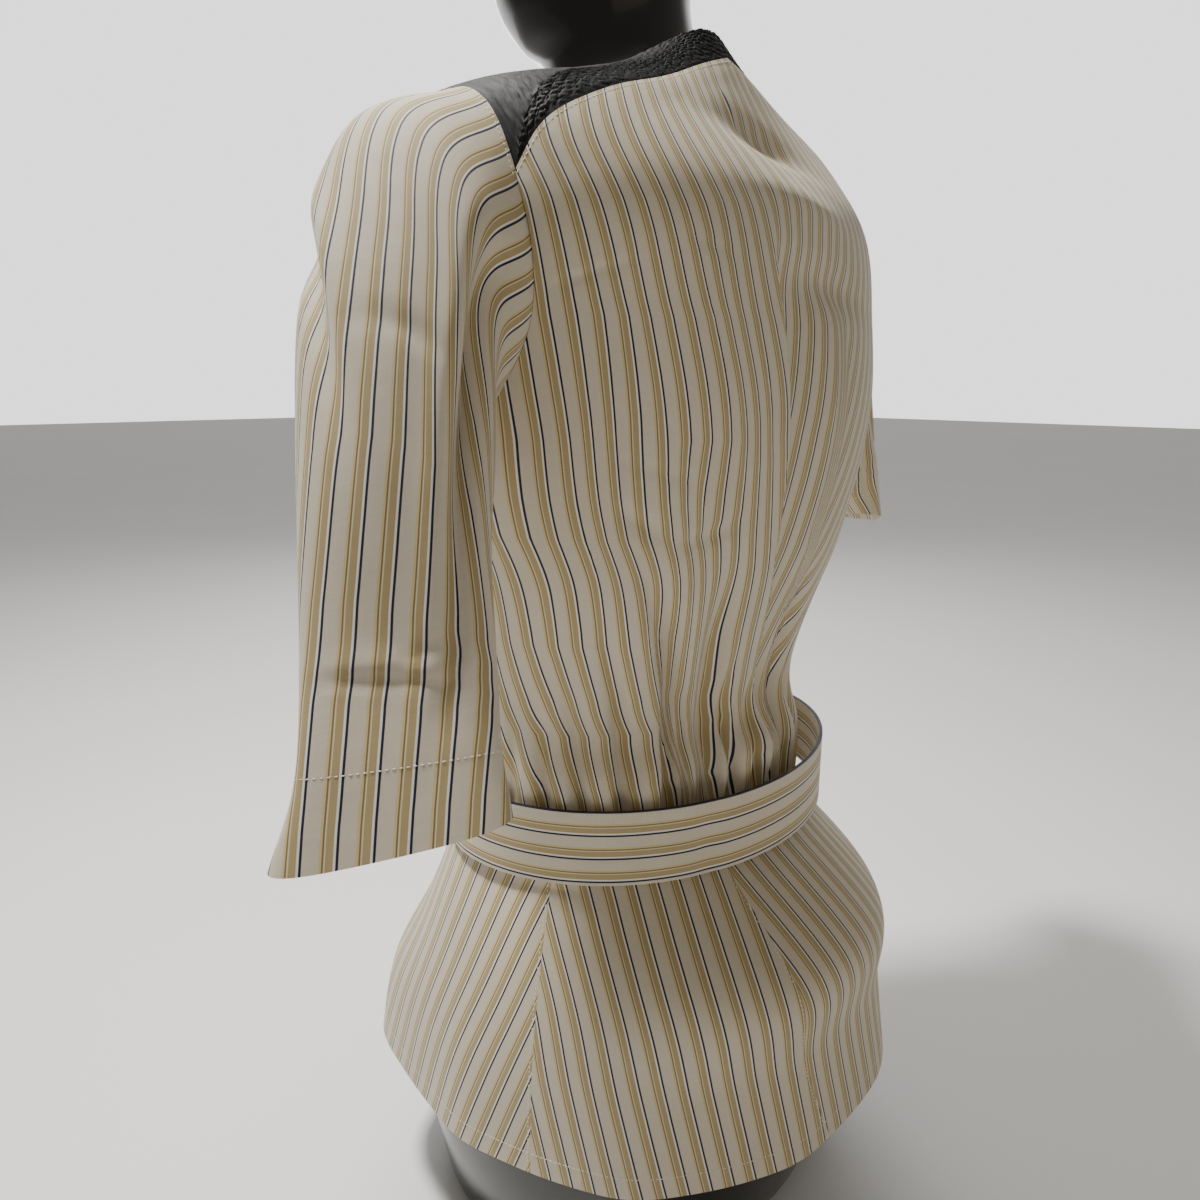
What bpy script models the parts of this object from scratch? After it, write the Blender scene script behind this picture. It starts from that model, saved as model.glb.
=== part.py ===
"""A woman's short-sleeved striped jacket, worn by a limbless dress form.

The jacket has a relief-woven yoke round the neck and over the shoulders, one wide back panel that is
gathered into the waist, two fronts, two short flared sleeves with turned hems, a belt and a peplum of
four panels. Every cloth piece is a thin wall round an open hollow.

Frame: metres, +Z up, front towards -Y, the wearer's left towards +X. The origin is the centre of the
dress form's flat base. An angle round the body is 0 at the wearer's left side, 90 at the centre back,
180 at the right side and -90 or 270 at the centre front.
"""

import math

import bmesh
import bpy
from mathutils import Vector

# Cloth and seams
CLOTH = 0.0012          # wall of one layer of shirting
DOUBLE = 0.0022         # wall of a turned hem, or of the interfaced belt
SEAM = 0.0005           # gap between two pieces that are sewn together
ARMHOLE_SEAM = 0.0006   # the same round the armhole, measured outwards and towards its middle
FORM_CLEAR = 0.0012     # gap between the yoke and the shoulders that carry it

# Heights of the waist seam, the belt and the hem above the base
WAIST_Z = 0.2620
BELT_Z = 0.2737
BELT_HIGH = 0.0435
HEM_Z = 0.0950

# Mesh steps: across and up each panel, and round the armhole
BACK_ACROSS = 36
FRONT_ACROSS = 10
SIDE_ROWS = 13
ARMHOLE_ROWS = 8
HEAD_STEPS = 8
YOKE_ROWS = 4
UPPER_SLEEVE_ROWS = 7
LOWER_SLEEVE_ROWS = 5
PEPLUM_ROWS = 7

SIDE_ANGLE = 0.0
NOTCH_TURN = 60.0       # where the armhole meets the yoke, counted round the armhole from its top
NOTCH_NECK_ANGLE = 35.0  # the point of the neckline that faces the notch

# The torso's sections from the waist seam to the neckline. Each is a rounded box about the body's
# axis: half width, reach to the back and to the front, height at the side, back and front, and how
# square it is (2 is an ellipse). shift moves the section towards the wearer's left, and twist turns
# it, in degrees, because the shoulders are turned a little to the left.
TORSO_COLUMNS = ("name", "side", "back", "front", "side_z", "back_z", "front_z", "square", "shift", "twist")
TORSO = (
    ("waist", 0.122, 0.101, 0.086, 0.262, 0.262, 0.262, 2.1, 0.006, 0.0),
    ("belt top", 0.122, 0.101, 0.086, 0.298, 0.298, 0.298, 2.1, 0.006, 0.0),
    ("tuck", 0.119, 0.091, 0.088, 0.345, 0.345, 0.345, 2.1, 0.004, 0.0),
    ("ribs", 0.136, 0.117, 0.106, 0.430, 0.430, 0.430, 2.2, 0.002, 2.0),
    ("chest", 0.152, 0.126, 0.120, 0.500, 0.500, 0.500, 2.3, 0.000, 4.0),
    ("blades", 0.163, 0.119, 0.110, 0.560, 0.560, 0.560, 2.4, 0.000, 6.0),
    ("notch", 0.161, 0.104, 0.094, 0.608, 0.612, 0.600, 2.8, 0.000, 7.0),
    ("shoulder", 0.149, 0.077, 0.072, 0.648, 0.650, 0.632, 2.7, 0.000, 7.0),
    ("slope", 0.100, 0.062, 0.062, 0.665, 0.676, 0.645, 2.4, 0.000, 7.0),
    ("neckline", 0.057, 0.046, 0.056, 0.675, 0.702, 0.648, 2.0, 0.000, 7.0),
)

# The yoke's seam on the back panel, from the notch (reach 0) to the centre back (reach 1)
YOKE_SEAM_COLUMNS = ("reach", "angle", "station")
YOKE_SEAM = (
    (0.0, 17.5, 6.00),
    (0.2, 21.0, 6.45),
    (0.4, 27.0, 6.80),
    (0.6, 37.0, 7.28),
    (0.8, 57.0, 8.00),
    (1.0, 90.0, 8.42),
)

# The armhole, from the shoulder (turn 0) round the back to the underarm (turn 180)
ARMHOLE_COLUMNS = ("turn", "angle", "station")
ARMHOLE = (
    (0.0, 0.0, 7.08),
    (20.0, 6.0, 6.98),
    (40.0, 12.5, 6.62),
    (60.0, 17.5, 6.00),
    (90.0, 21.0, 5.25),
    (120.0, 20.0, 4.62),
    (150.0, 12.0, 4.12),
    (180.0, 0.0, 3.92),
)

# The left sleeve's sections from the armhole to the hem, by the places of its outer line, back fold,
# underarm line and front fold. The first section is the armhole itself.
SLEEVE_COLUMNS = ("name", "outer", "back", "under", "front")
SLEEVE = (
    ("cap", (0.189, 0.022, 0.631), (0.169, 0.082, 0.550), (0.170, 0.016, 0.473), (0.186, -0.030, 0.560)),
    ("upper", (0.212, 0.050, 0.578), (0.181, 0.093, 0.505), (0.181, 0.030, 0.447), (0.217, 0.001, 0.525)),
    ("middle", (0.229, 0.074, 0.500), (0.191, 0.102, 0.455), (0.197, 0.048, 0.422), (0.240, 0.035, 0.465)),
    ("lower", (0.241, 0.094, 0.420), (0.202, 0.120, 0.404), (0.216, 0.070, 0.388), (0.258, 0.064, 0.412)),
    ("stitching", (0.252, 0.108, 0.377), (0.208, 0.130, 0.380), (0.227, 0.082, 0.366), (0.272, 0.082, 0.372)),
    ("hem", (0.258, 0.120, 0.347), (0.212, 0.140, 0.357), (0.236, 0.092, 0.350), (0.288, 0.087, 0.341)),
)
SPLIT_SECTION = 3       # each sleeve is two solids, so that simple hulls keep its folded hollow open
STITCH_SECTION = 5      # the sleeve ends and its hem begins at this section
RIGHT_SWING = Vector((-0.005, -0.100, 0.065))   # how far the right hem hangs from a mirror image
SWING_POWER = 0.6       # below 1, the right sleeve swings forward from close to its armhole

# The peplum's sections from the waist seam to the hem
PEPLUM_COLUMNS = ("name", "side", "back", "front", "z", "shift")
PEPLUM = (
    ("waist", 0.122, 0.101, 0.086, 0.2615, 0.006),
    ("belt edge", 0.1235, 0.104, 0.088, 0.250, 0.006),
    ("high hip", 0.149, 0.163, 0.105, 0.200, -0.001),
    ("hip", 0.160, 0.163, 0.134, 0.150, 0.000),
    ("hem", 0.164, 0.170, 0.150, HEM_Z, 0.000),
)
# The peplum's seams: their angle at the waist and at the hem, and how far they bend aside between
PEPLUM_SEAMS = {
    "front left": (-90.0, -90.0, 0.0),
    "side back left": (24.0, 25.0, 0.0),
    "centre back": (80.0, 87.0, -6.0),
    "side back right": (150.0, 150.0, 0.0),
    "front right": (270.0, 270.0, 0.0),
}
# Soft flutes of the peplum: angle, how far the crest stands out at the hem, half width in degrees
FLUTE_COLUMNS = ("name", "angle", "out", "half")
FLUTES = (
    ("left centre front", -66.0, 0.006, 9.0),
    ("left front", -33.0, 0.011, 13.0),
    ("left side", 8.0, 0.003, 8.0),
    ("left back", 44.0, 0.003, 9.0),
    ("centre back", 78.0, 0.002, 9.0),
    ("right back", 112.0, 0.003, 12.0),
    ("right side", 176.0, 0.007, 13.0),
    ("right front", 214.0, 0.009, 12.0),
    ("right centre front", 248.0, 0.006, 9.0),
)

# The belt stands off the waist at the wearer's right
BELT_SHIFT = -0.003
BELT_SIDE = 0.137
BELT_BACK = 0.113
BELT_FRONT = 0.097
BELT_LAP = 30.0         # degrees by which its outer end laps over its inner end at the front
BELT_STEPS = 60

# Soft troughs of the gathered back: angle at the belt and at the top, height of the top, depth, half
# width in degrees
GATHER_COLUMNS = ("name", "belt_angle", "top_angle", "top_z", "deep", "half")
GATHERS = (
    ("left side", 20.0, 22.0, 0.400, 0.004, 4.0),
    ("left outer", 34.0, 37.0, 0.420, 0.005, 3.5),
    ("left inner", 45.0, 50.0, 0.400, 0.005, 3.5),
    ("middle left", 56.0, 62.0, 0.470, 0.011, 4.0),
    ("middle right", 71.0, 80.0, 0.460, 0.010, 4.0),
    ("right inner", 84.0, 94.0, 0.400, 0.006, 3.5),
    ("right outer", 99.0, 106.0, 0.520, 0.009, 5.0),
    ("right back", 118.0, 122.0, 0.420, 0.006, 4.5),
    ("right side", 140.0, 143.0, 0.420, 0.006, 4.5),
)

# Troughs of a sleeve: turn round it and share of its length where each is deepest, depth, half width
# in degrees and half length as a share
CREASE_COLUMNS = ("name", "turn", "along", "deep", "half", "half_along")
CREASE_START = 0.15     # share of the sleeve's length over which its troughs begin
SLEEVE_CREASES = (
    ("behind the cap", 74.0, 0.34, 0.010, 15.0, 0.22),
    ("front of the cap", 318.0, 0.26, 0.007, 16.0, 0.12),
    ("underarm", 180.0, 0.30, 0.010, 22.0, 0.20),
)

# The dress form: height, half width, reach to the back and to the front
FORM_COLUMNS = ("z", "side", "back", "front", "twist")
FORM = (
    (0.000, 0.132, 0.118, 0.100, 0.0),
    (0.006, 0.138, 0.124, 0.105, 0.0),
    (0.060, 0.148, 0.136, 0.112, 0.0),
    (0.120, 0.147, 0.136, 0.112, 0.0),
    (0.180, 0.132, 0.118, 0.100, 0.0),
    (0.235, 0.112, 0.090, 0.080, 0.0),
    (0.290, 0.101, 0.078, 0.072, 0.0),
    (0.340, 0.100, 0.074, 0.075, 0.0),
    (0.400, 0.110, 0.084, 0.088, 1.0),
    (0.460, 0.124, 0.098, 0.102, 3.0),
    (0.520, 0.134, 0.104, 0.102, 5.0),
    (0.570, 0.138, 0.098, 0.092, 6.0),
    (0.605, 0.137, 0.088, 0.080, 7.0),
)
# The neck above the shoulders: height, how far it leans forward and to the left, half width and depth
NECK_COLUMNS = ("z", "lean", "left", "side", "deep")
NECK = (
    (0.690, 0.008, 0.003, 0.0500, 0.0440),
    (0.705, 0.020, 0.007, 0.0525, 0.0490),
    (0.722, 0.028, 0.010, 0.0550, 0.0540),
    (0.740, 0.031, 0.011, 0.0560, 0.0560),
    (0.754, 0.032, 0.011, 0.0500, 0.0500),
    (0.763, 0.032, 0.011, 0.0360, 0.0360),
    (0.767, 0.032, 0.011, 0.0150, 0.0150),
)
FORM_AROUND = 32


def rows_of(table, columns):
    """The table's rows as dictionaries by column name."""
    return [dict(zip(columns, row)) for row in table]


TORSO_ROWS = rows_of(TORSO, TORSO_COLUMNS)
ARMHOLE_ROWS_TABLE = rows_of(ARMHOLE, ARMHOLE_COLUMNS)
YOKE_SEAM_ROWS = rows_of(YOKE_SEAM, YOKE_SEAM_COLUMNS)
SLEEVE_SECTIONS = rows_of(SLEEVE, SLEEVE_COLUMNS)
PEPLUM_SECTIONS = rows_of(PEPLUM, PEPLUM_COLUMNS)
FORM_RINGS = rows_of(FORM, FORM_COLUMNS)
NECK_RINGS = rows_of(NECK, NECK_COLUMNS)
GATHER_ROWS = rows_of(GATHERS, GATHER_COLUMNS)
CREASE_ROWS = rows_of(SLEEVE_CREASES, CREASE_COLUMNS)
FLUTE_ROWS = rows_of(FLUTES, FLUTE_COLUMNS)


def smooth_between(values, position):
    """A smooth curve through evenly spaced values, read at a position counted in steps."""
    last = len(values) - 1
    low = max(0, min(last - 1, int(math.floor(position))))
    part = position - low
    before = values[low - 1] if low > 0 else 2 * values[0] - values[1]
    after = values[low + 2] if low + 2 <= last else 2 * values[last] - values[last - 1]
    first, second = values[low], values[low + 1]
    slope_first = (second - before) / 2
    slope_second = (after - first) / 2
    square, cube = part * part, part * part * part
    return (
        first * (2 * cube - 3 * square + 1)
        + slope_first * (cube - 2 * square + part)
        + second * (3 * square - 2 * cube)
        + slope_second * (cube - square)
    )


def look_up(rows, key, value, column):
    """A column of a table, smoothly interpolated at a value of its key column."""
    keys = [row[key] for row in rows]
    low = 0
    while low < len(keys) - 2 and value > keys[low + 1]:
        low += 1
    position = low + (value - keys[low]) / (keys[low + 1] - keys[low])
    position = max(0.0, min(len(keys) - 1.0, position))
    return smooth_between([row[column] for row in rows], position)


def section_radius(angle, side, back, front, square):
    """The reach of a rounded box from the axis, at an angle in degrees."""
    cosine, sine = math.cos(math.radians(angle)), math.sin(math.radians(angle))
    deep = back if sine > 0 else front
    return ((abs(cosine) / side) ** square + (abs(sine) / deep) ** square) ** (-1 / square)


def bell(distance, half):
    """A soft hump: 1 in its middle, 0 beyond about two half widths."""
    return math.exp(-((distance / half) ** 2))


def ease(value):
    """0 below 0, 1 above 1 and a smooth step between."""
    held = max(0.0, min(1.0, value))
    return held * held * (3 - 2 * held)


def gather_depth(angle, height):
    """How far the gathered back lies inside its smooth form."""
    depth = 0.0
    for row in GATHER_ROWS:
        share = (height - WAIST_Z) / (row["top_z"] - WAIST_Z)
        if share > 1.3:
            continue
        middle = row["belt_angle"] + (row["top_angle"] - row["belt_angle"]) * share
        fade = 1 - ease((share - 0.25) / 1.05)
        near_belt = 0.35 + 0.65 * ease((height - WAIST_Z) / 0.05)
        depth += row["deep"] * fade * near_belt * bell(angle - middle, row["half"])
    return depth


def torso_point(angle, station):
    """A point of the jacket's outer form, at an angle and a station of the torso table."""
    read = {c: smooth_between([r[c] for r in TORSO_ROWS], station) for c in TORSO_COLUMNS[1:]}
    cosine, sine = math.cos(math.radians(angle)), math.sin(math.radians(angle))
    radius = section_radius(angle, read["side"], read["back"], read["front"], read["square"])
    end_z = read["back_z"] if sine > 0 else read["front_z"]
    height = read["side_z"] + (end_z - read["side_z"]) * sine * sine
    if sine > 0:
        radius -= gather_depth(angle, height)
    turned = math.radians(angle + read["twist"])
    return Vector((read["shift"] + radius * math.cos(turned), radius * math.sin(turned), height))


def torso_normal(angle, station):
    """The outward direction of the jacket's outer form."""
    along = torso_point(angle + 0.5, station) - torso_point(angle - 0.5, station)
    up = torso_point(angle, station + 0.03) - torso_point(angle, station - 0.03)
    return along.cross(up).normalized()


def on_side(angle, side):
    """An angle of the left half, or its opposite on the right half. side is 1 or -1."""
    return angle if side > 0 else 180 - angle


def armhole_at(turn):
    """Angle and station of the left armhole at a turn; turns past 180 are the front half."""
    half = turn if turn <= 180 else 360 - turn
    angle = look_up(ARMHOLE_ROWS_TABLE, "turn", half, "angle")
    station = look_up(ARMHOLE_ROWS_TABLE, "turn", half, "station")
    return (angle if turn <= 180 else -angle), station


def side_edge(row):
    """Angle and station of the back panel's edge: up the side seam, then round the armhole."""
    if row <= SIDE_ROWS:
        return SIDE_ANGLE, ARMHOLE[-1][2] * row / SIDE_ROWS
    share = (row - SIDE_ROWS) / ARMHOLE_ROWS
    return armhole_at(180 - (180 - NOTCH_TURN) * share)


def seam_at(reach):
    """Angle and station of the yoke's seam, from the notch (0) to the centre (1)."""
    return (
        look_up(YOKE_SEAM_ROWS, "reach", reach, "angle"),
        look_up(YOKE_SEAM_ROWS, "reach", reach, "station"),
    )


def panel_place(across, row, rows):
    """Angle and station of a bodice panel between its edge (across 0) and the centre (across 1)."""
    edge_angle, edge_station = side_edge(row)
    up = row / rows
    seam_angle, seam_station = seam_at(across)
    centre_station = YOKE_SEAM[-1][2] * up
    rise = (seam_station - YOKE_SEAM[0][2]) / (YOKE_SEAM[-1][2] - YOKE_SEAM[0][2])
    seam_share = (seam_angle - YOKE_SEAM[0][1]) / (YOKE_SEAM[-1][1] - YOKE_SEAM[0][1])
    share = across + (seam_share - across) * up * up
    angle = edge_angle + (90 - edge_angle) * share
    return angle, edge_station + (centre_station - edge_station) * rise_at(across, up, rise)


def rise_at(across, up, top_rise):
    """How far a row has left its side edge for the centre: level by the armhole, curved at the seam."""
    level = (1 - math.cos(math.pi * across)) / 2
    return level + (top_rise - level) * up * up * up


def surface_normals(grid, closed):
    """Outward normals of a grid of points, from the steps to its neighbours."""
    columns, rows = len(grid), len(grid[0])
    normals = []
    for i in range(columns):
        line = []
        for j in range(rows):
            ahead = grid[(i + 1) % columns] if closed else grid[min(i + 1, columns - 1)]
            behind = grid[i - 1] if closed or i > 0 else grid[0]
            along = ahead[j] - behind[j]
            up = grid[i][min(j + 1, rows - 1)] - grid[i][max(j - 1, 0)]
            line.append(along.cross(up).normalized())
        normals.append(line)
    return normals


def add_wall(name, grid, wall, material, closed=False, level_rows=(), normals=None):
    """A closed solid of cloth: the grid is its outer face, and its inner face lies a wall inside.

    On the level rows, by index, the wall is taken square to the body, so that the edge is level.
    """
    normals = normals or surface_normals(grid, closed)
    columns, rows = len(grid), len(grid[0])
    for line in normals:
        for row in level_rows:
            line[row] = Vector((line[row].x, line[row].y, 0)).normalized()
    shape = bmesh.new()
    outer = [[shape.verts.new(point) for point in line] for line in grid]
    inner = [
        [shape.verts.new(grid[i][j] - normals[i][j] * wall) for j in range(rows)] for i in range(columns)
    ]
    for i in range(columns if closed else columns - 1):
        k = (i + 1) % columns
        for j in range(rows - 1):
            shape.faces.new((outer[i][j], outer[k][j], outer[k][j + 1], outer[i][j + 1]))
            shape.faces.new((inner[i][j], inner[i][j + 1], inner[k][j + 1], inner[k][j]))
        shape.faces.new((outer[i][0], inner[i][0], inner[k][0], outer[k][0]))
        shape.faces.new((outer[i][-1], outer[k][-1], inner[k][-1], inner[i][-1]))
    if not closed:
        for j in range(rows - 1):
            shape.faces.new((outer[0][j], outer[0][j + 1], inner[0][j + 1], inner[0][j]))
            shape.faces.new((outer[-1][j], inner[-1][j], inner[-1][j + 1], outer[-1][j + 1]))
    return finish_solid(name, shape, material)


def finish_solid(name, shape, material):
    """Turns a bmesh into a named, smooth-shaded object with its faces outwards."""
    bmesh.ops.recalc_face_normals(shape, faces=shape.faces)
    mesh = bpy.data.meshes.new(name)
    shape.to_mesh(mesh)
    shape.free()
    mesh.materials.append(material)
    mesh.shade_smooth()
    mesh.set_sharp_from_angle(angle=math.radians(40))
    piece = bpy.data.objects.new(name, mesh)
    bpy.context.scene.collection.objects.link(piece)
    return piece


def make_material(name, colour, roughness, metallic=0.0):
    material = bpy.data.materials.new(name)
    material.use_nodes = True
    shader = material.node_tree.nodes["Principled BSDF"]
    shader.inputs["Base Color"].default_value = (*colour, 1.0)
    shader.inputs["Roughness"].default_value = roughness
    shader.inputs["Metallic"].default_value = metallic
    return material


def border_moved(border, inside, length):
    """A border line of points moved square to itself, towards the line inside it."""
    last = len(border) - 1
    moved = []
    for k, (place, inner) in enumerate(zip(border, inside)):
        along = (border[min(k + 1, last)] - border[max(k - 1, 0)]).normalized()
        inwards = inner - place
        inwards -= along * inwards.dot(along)
        moved.append(place + inwards.normalized() * length)
    return moved


def trimmed(grid, left=0.0, right=0.0, top=0.0, bottom=0.0):
    """The grid with its border lines moved inwards by the given lengths, for the seam gaps."""
    lines = [list(line) for line in grid]
    if left:
        lines[0] = border_moved(lines[0], lines[1], left)
    if right:
        lines[-1] = border_moved(lines[-1], lines[-2], right)
    if top:
        moved = border_moved([line[-1] for line in lines], [line[-2] for line in lines], top)
        lines = [line[:-1] + [place] for line, place in zip(lines, moved)]
    if bottom:
        moved = border_moved([line[0] for line in lines], [line[1] for line in lines], bottom)
        lines = [[place] + line[1:] for line, place in zip(lines, moved)]
    return lines


def add_torso_wall(name, lines, material, level_rows=(), **trims):
    """A wall on the torso's form from lines of (angle, station), trimmed for its seams."""
    grid = [[torso_point(angle, station) for angle, station in line] for line in lines]
    normals = [[torso_normal(angle, station) for angle, station in line] for line in lines]
    add_wall(name, trimmed(grid, **trims), CLOTH, material, level_rows=level_rows, normals=normals)


def bodice_back(material):
    """One wide panel from side seam to side seam, gathered into the waist."""
    rows = SIDE_ROWS + ARMHOLE_ROWS
    half = BACK_ACROSS // 2
    lines = []
    for column in range(BACK_ACROSS + 1):
        side = 1 if column <= half else -1
        across = column / half if side > 0 else (BACK_ACROSS - column) / half
        places = [panel_place(across, row, rows) for row in range(rows + 1)]
        lines.append([(on_side(angle, side), station) for angle, station in places])
    edges = {"left": SEAM / 2, "right": SEAM / 2, "top": SEAM / 2}
    add_torso_wall("bodice_back", lines, material, level_rows=(0,), **edges)


def bodice_fronts(material):
    """Two plain fronts that meet edge to edge at the centre front."""
    rows = SIDE_ROWS + ARMHOLE_ROWS
    edges = {"left": SEAM / 2, "right": SEAM / 2, "top": SEAM / 2}
    for name, side in (("bodice_front_left", 1), ("bodice_front_right", -1)):
        lines = []
        for column in range(FRONT_ACROSS + 1):
            across = 1 - column / FRONT_ACROSS
            places = [panel_place(across, row, rows) for row in range(rows + 1)]
            lines.append([(on_side(-angle, side), station) for angle, station in places])
        lines = lines if side > 0 else lines[::-1]
        add_torso_wall(name, lines, material, level_rows=(0,), **edges)


def yoke_edge():
    """The left half of the yoke's outer edge, centre front to centre back.

    Each entry is an angle, a station and the angle of the neckline that it faces.
    """
    edge = []
    spread = 90 - NOTCH_NECK_ANGLE
    for step in range(FRONT_ACROSS):
        reach = 1 - step / FRONT_ACROSS
        angle, station = seam_at(reach)
        edge.append((-angle, station, -NOTCH_NECK_ANGLE - spread * reach))
    for step in range(HEAD_STEPS):
        share = step / HEAD_STEPS
        angle, station = armhole_at((NOTCH_TURN * (2 * share - 1)) % 360)
        edge.append((angle, station, NOTCH_NECK_ANGLE * (2 * share - 1)))
    half_back = BACK_ACROSS // 2
    for step in range(half_back + 1):
        reach = step / half_back
        angle, station = seam_at(reach)
        edge.append((angle, station, NOTCH_NECK_ANGLE + spread * reach))
    return edge


def yoke(material):
    """The yoke: a C from the centre front, over the left shoulder, round the back and over the right."""
    left = yoke_edge()
    right = [(180 - angle, station, 180 - neck) for angle, station, neck in reversed(left[:-1])]
    neck_station = len(TORSO) - 1
    lines = []
    for angle, station, neck_angle in left + right:
        line = []
        for row in range(YOKE_ROWS + 1):
            up = row / YOKE_ROWS
            # Off the edge a line first climbs, then turns, so that it stays clear of the curved seam
            turned = angle + (neck_angle - angle) * up * up
            line.append((turned, station + (neck_station - station) * up))
        lines.append(line)
    add_torso_wall("yoke", lines, material, left=SEAM / 2, right=SEAM / 2, bottom=SEAM / 2)


def armhole_ring(side):
    """A sleeve's first section: the armhole's own points, moved off the pieces round it."""
    turns = [NOTCH_TURN * (2 * step / HEAD_STEPS - 1) for step in range(HEAD_STEPS)]
    sweep = (180 - NOTCH_TURN) / ARMHOLE_ROWS
    turns += [NOTCH_TURN + sweep * step for step in range(2 * ARMHOLE_ROWS)]
    edge = [armhole_at(turn % 360) for turn in turns]
    places = [torso_point(on_side(angle, side), station) for angle, station in edge]
    middle = sum(places, Vector()) / len(places)
    outwards = Vector((side, 0, 0))
    ring = [p + ARMHOLE_SEAM * (outwards + (middle - p).normalized()) for p in places]
    return turns, ring


def sleeve_section(row, turn, side):
    """A point of one section of a sleeve, before the right one swings."""
    outer, back, under, front = (Vector(row[c]) for c in SLEEVE_COLUMNS[1:])
    cosine, sine = math.cos(math.radians(turn)), math.sin(math.radians(turn))
    middle = (outer + under) / 2 * cosine * cosine + (back + front) / 2 * sine * sine
    place = middle + (outer - under) / 2 * cosine + (back - front) / 2 * sine
    return Vector((side * place.x, place.y, place.z))


def crease_depth(turn, along):
    """How far a sleeve's soft troughs lie inside its smooth form."""
    depth = 0.0
    for row in CREASE_ROWS:
        off = (turn - row["turn"] + 180) % 360 - 180
        depth += row["deep"] * bell(off, row["half"]) * bell(along - row["along"], row["half_along"])
    return depth * ease(along / CREASE_START)


def sleeve_grid(first, last, steps, side):
    """Points of a sleeve between two sections, column by column round it and row by row upwards."""
    turns, ring = armhole_ring(side)
    count = len(SLEEVE_SECTIONS)
    swing = Vector() if side > 0 else RIGHT_SWING
    spots = [last + (first - last) * step / steps for step in range(steps + 1)]
    grid = []
    for turn, start in zip(turns, ring):
        sections = [start] + [sleeve_section(row, turn, side) for row in SLEEVE_SECTIONS]
        sections = [p + swing * (k / count) ** SWING_POWER for k, p in enumerate(sections)]
        grid.append([smooth_between(sections, spot) for spot in spots])
    if side < 0:
        turns, grid = turns[::-1], grid[::-1]
    normals = surface_normals(grid, True)
    return [
        [p - n * crease_depth(turn, spot / count) for p, n, spot in zip(line, normal_line, spots)]
        for turn, line, normal_line in zip(turns, grid, normals)
    ]


def sleeve_pair(material):
    """Both sleeves and their turned hems. The right one hangs further forward and out."""
    last = float(len(SLEEVE_SECTIONS))
    split, stitch = float(SPLIT_SECTION), float(STITCH_SECTION)
    for name, side in (("left", 1), ("right", -1)):
        upper = sleeve_grid(0.0, split, UPPER_SLEEVE_ROWS, side)
        lower = trimmed(sleeve_grid(split, stitch, LOWER_SLEEVE_ROWS, side), top=1.5 * SEAM)
        hem = trimmed(sleeve_grid(stitch, last, 2, side), top=2 * SEAM)
        add_wall("sleeve_" + name, upper, CLOTH, material, closed=True)
        add_wall("sleeve_lower_" + name, lower, CLOTH, material, closed=True)
        add_wall("sleeve_hem_" + name, hem, DOUBLE, material, closed=True)


def peplum_point(angle, down):
    """A point of the peplum's outer form, at a share of the way from the waist to the hem."""
    position = down * (len(PEPLUM_SECTIONS) - 1)
    columns = PEPLUM_COLUMNS[1:]
    read = {c: smooth_between([r[c] for r in PEPLUM_SECTIONS], position) for c in columns}
    radius = section_radius(angle, read["side"], read["back"], read["front"], 2.1)
    flare = ease((down - 0.25) / 0.75)
    radius += flare * sum(row["out"] * bell(angle - row["angle"], row["half"]) for row in FLUTE_ROWS)
    cosine, sine = math.cos(math.radians(angle)), math.sin(math.radians(angle))
    return Vector((read["shift"] + radius * cosine, radius * sine, read["z"]))


def peplum(material):
    """Four panels between the centre front, the side-back seams and the centre-back seam."""
    names = ("front_left", "back_left", "back_right", "front_right")
    seams = list(PEPLUM_SEAMS.values())
    for name, first, second in zip(names, seams, seams[1:]):
        across = max(6, round((second[0] - first[0]) / 7))
        grid = []
        for column in range(across + 1):
            share = column / across
            at_waist, at_hem, bend = (a + (b - a) * share for a, b in zip(first, second))
            line = []
            for row in range(PEPLUM_ROWS + 1):
                down = 1 - row / PEPLUM_ROWS
                angle = at_waist + (at_hem - at_waist) * down + bend * 4 * down * (1 - down)
                line.append(peplum_point(angle, down))
            grid.append(line)
        grid = trimmed(grid, left=0.6 * SEAM, right=0.6 * SEAM)
        add_wall("peplum_" + name, grid, CLOTH, material, level_rows=(0, -1))


def belt(material):
    """A stiff strip once round the waist, its outer end lapped over its inner end at the front."""
    start = -90 - BELT_LAP / 2
    sweep = 360 + BELT_LAP
    grid = []
    for step in range(BELT_STEPS + 1):
        turned = sweep * step / BELT_STEPS
        angle = start + turned
        lap = (DOUBLE + SEAM) * ease((turned - 360 + BELT_LAP) / BELT_LAP)
        radius = section_radius(angle, BELT_SIDE, BELT_BACK, BELT_FRONT, 2.0) + lap
        x = BELT_SHIFT + radius * math.cos(math.radians(angle))
        y = radius * math.sin(math.radians(angle))
        grid.append([Vector((x, y, BELT_Z + BELT_HIGH * (share - 0.5))) for share in (0.0, 0.5, 1.0)])
    return add_wall("belt", grid, DOUBLE, material)


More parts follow.
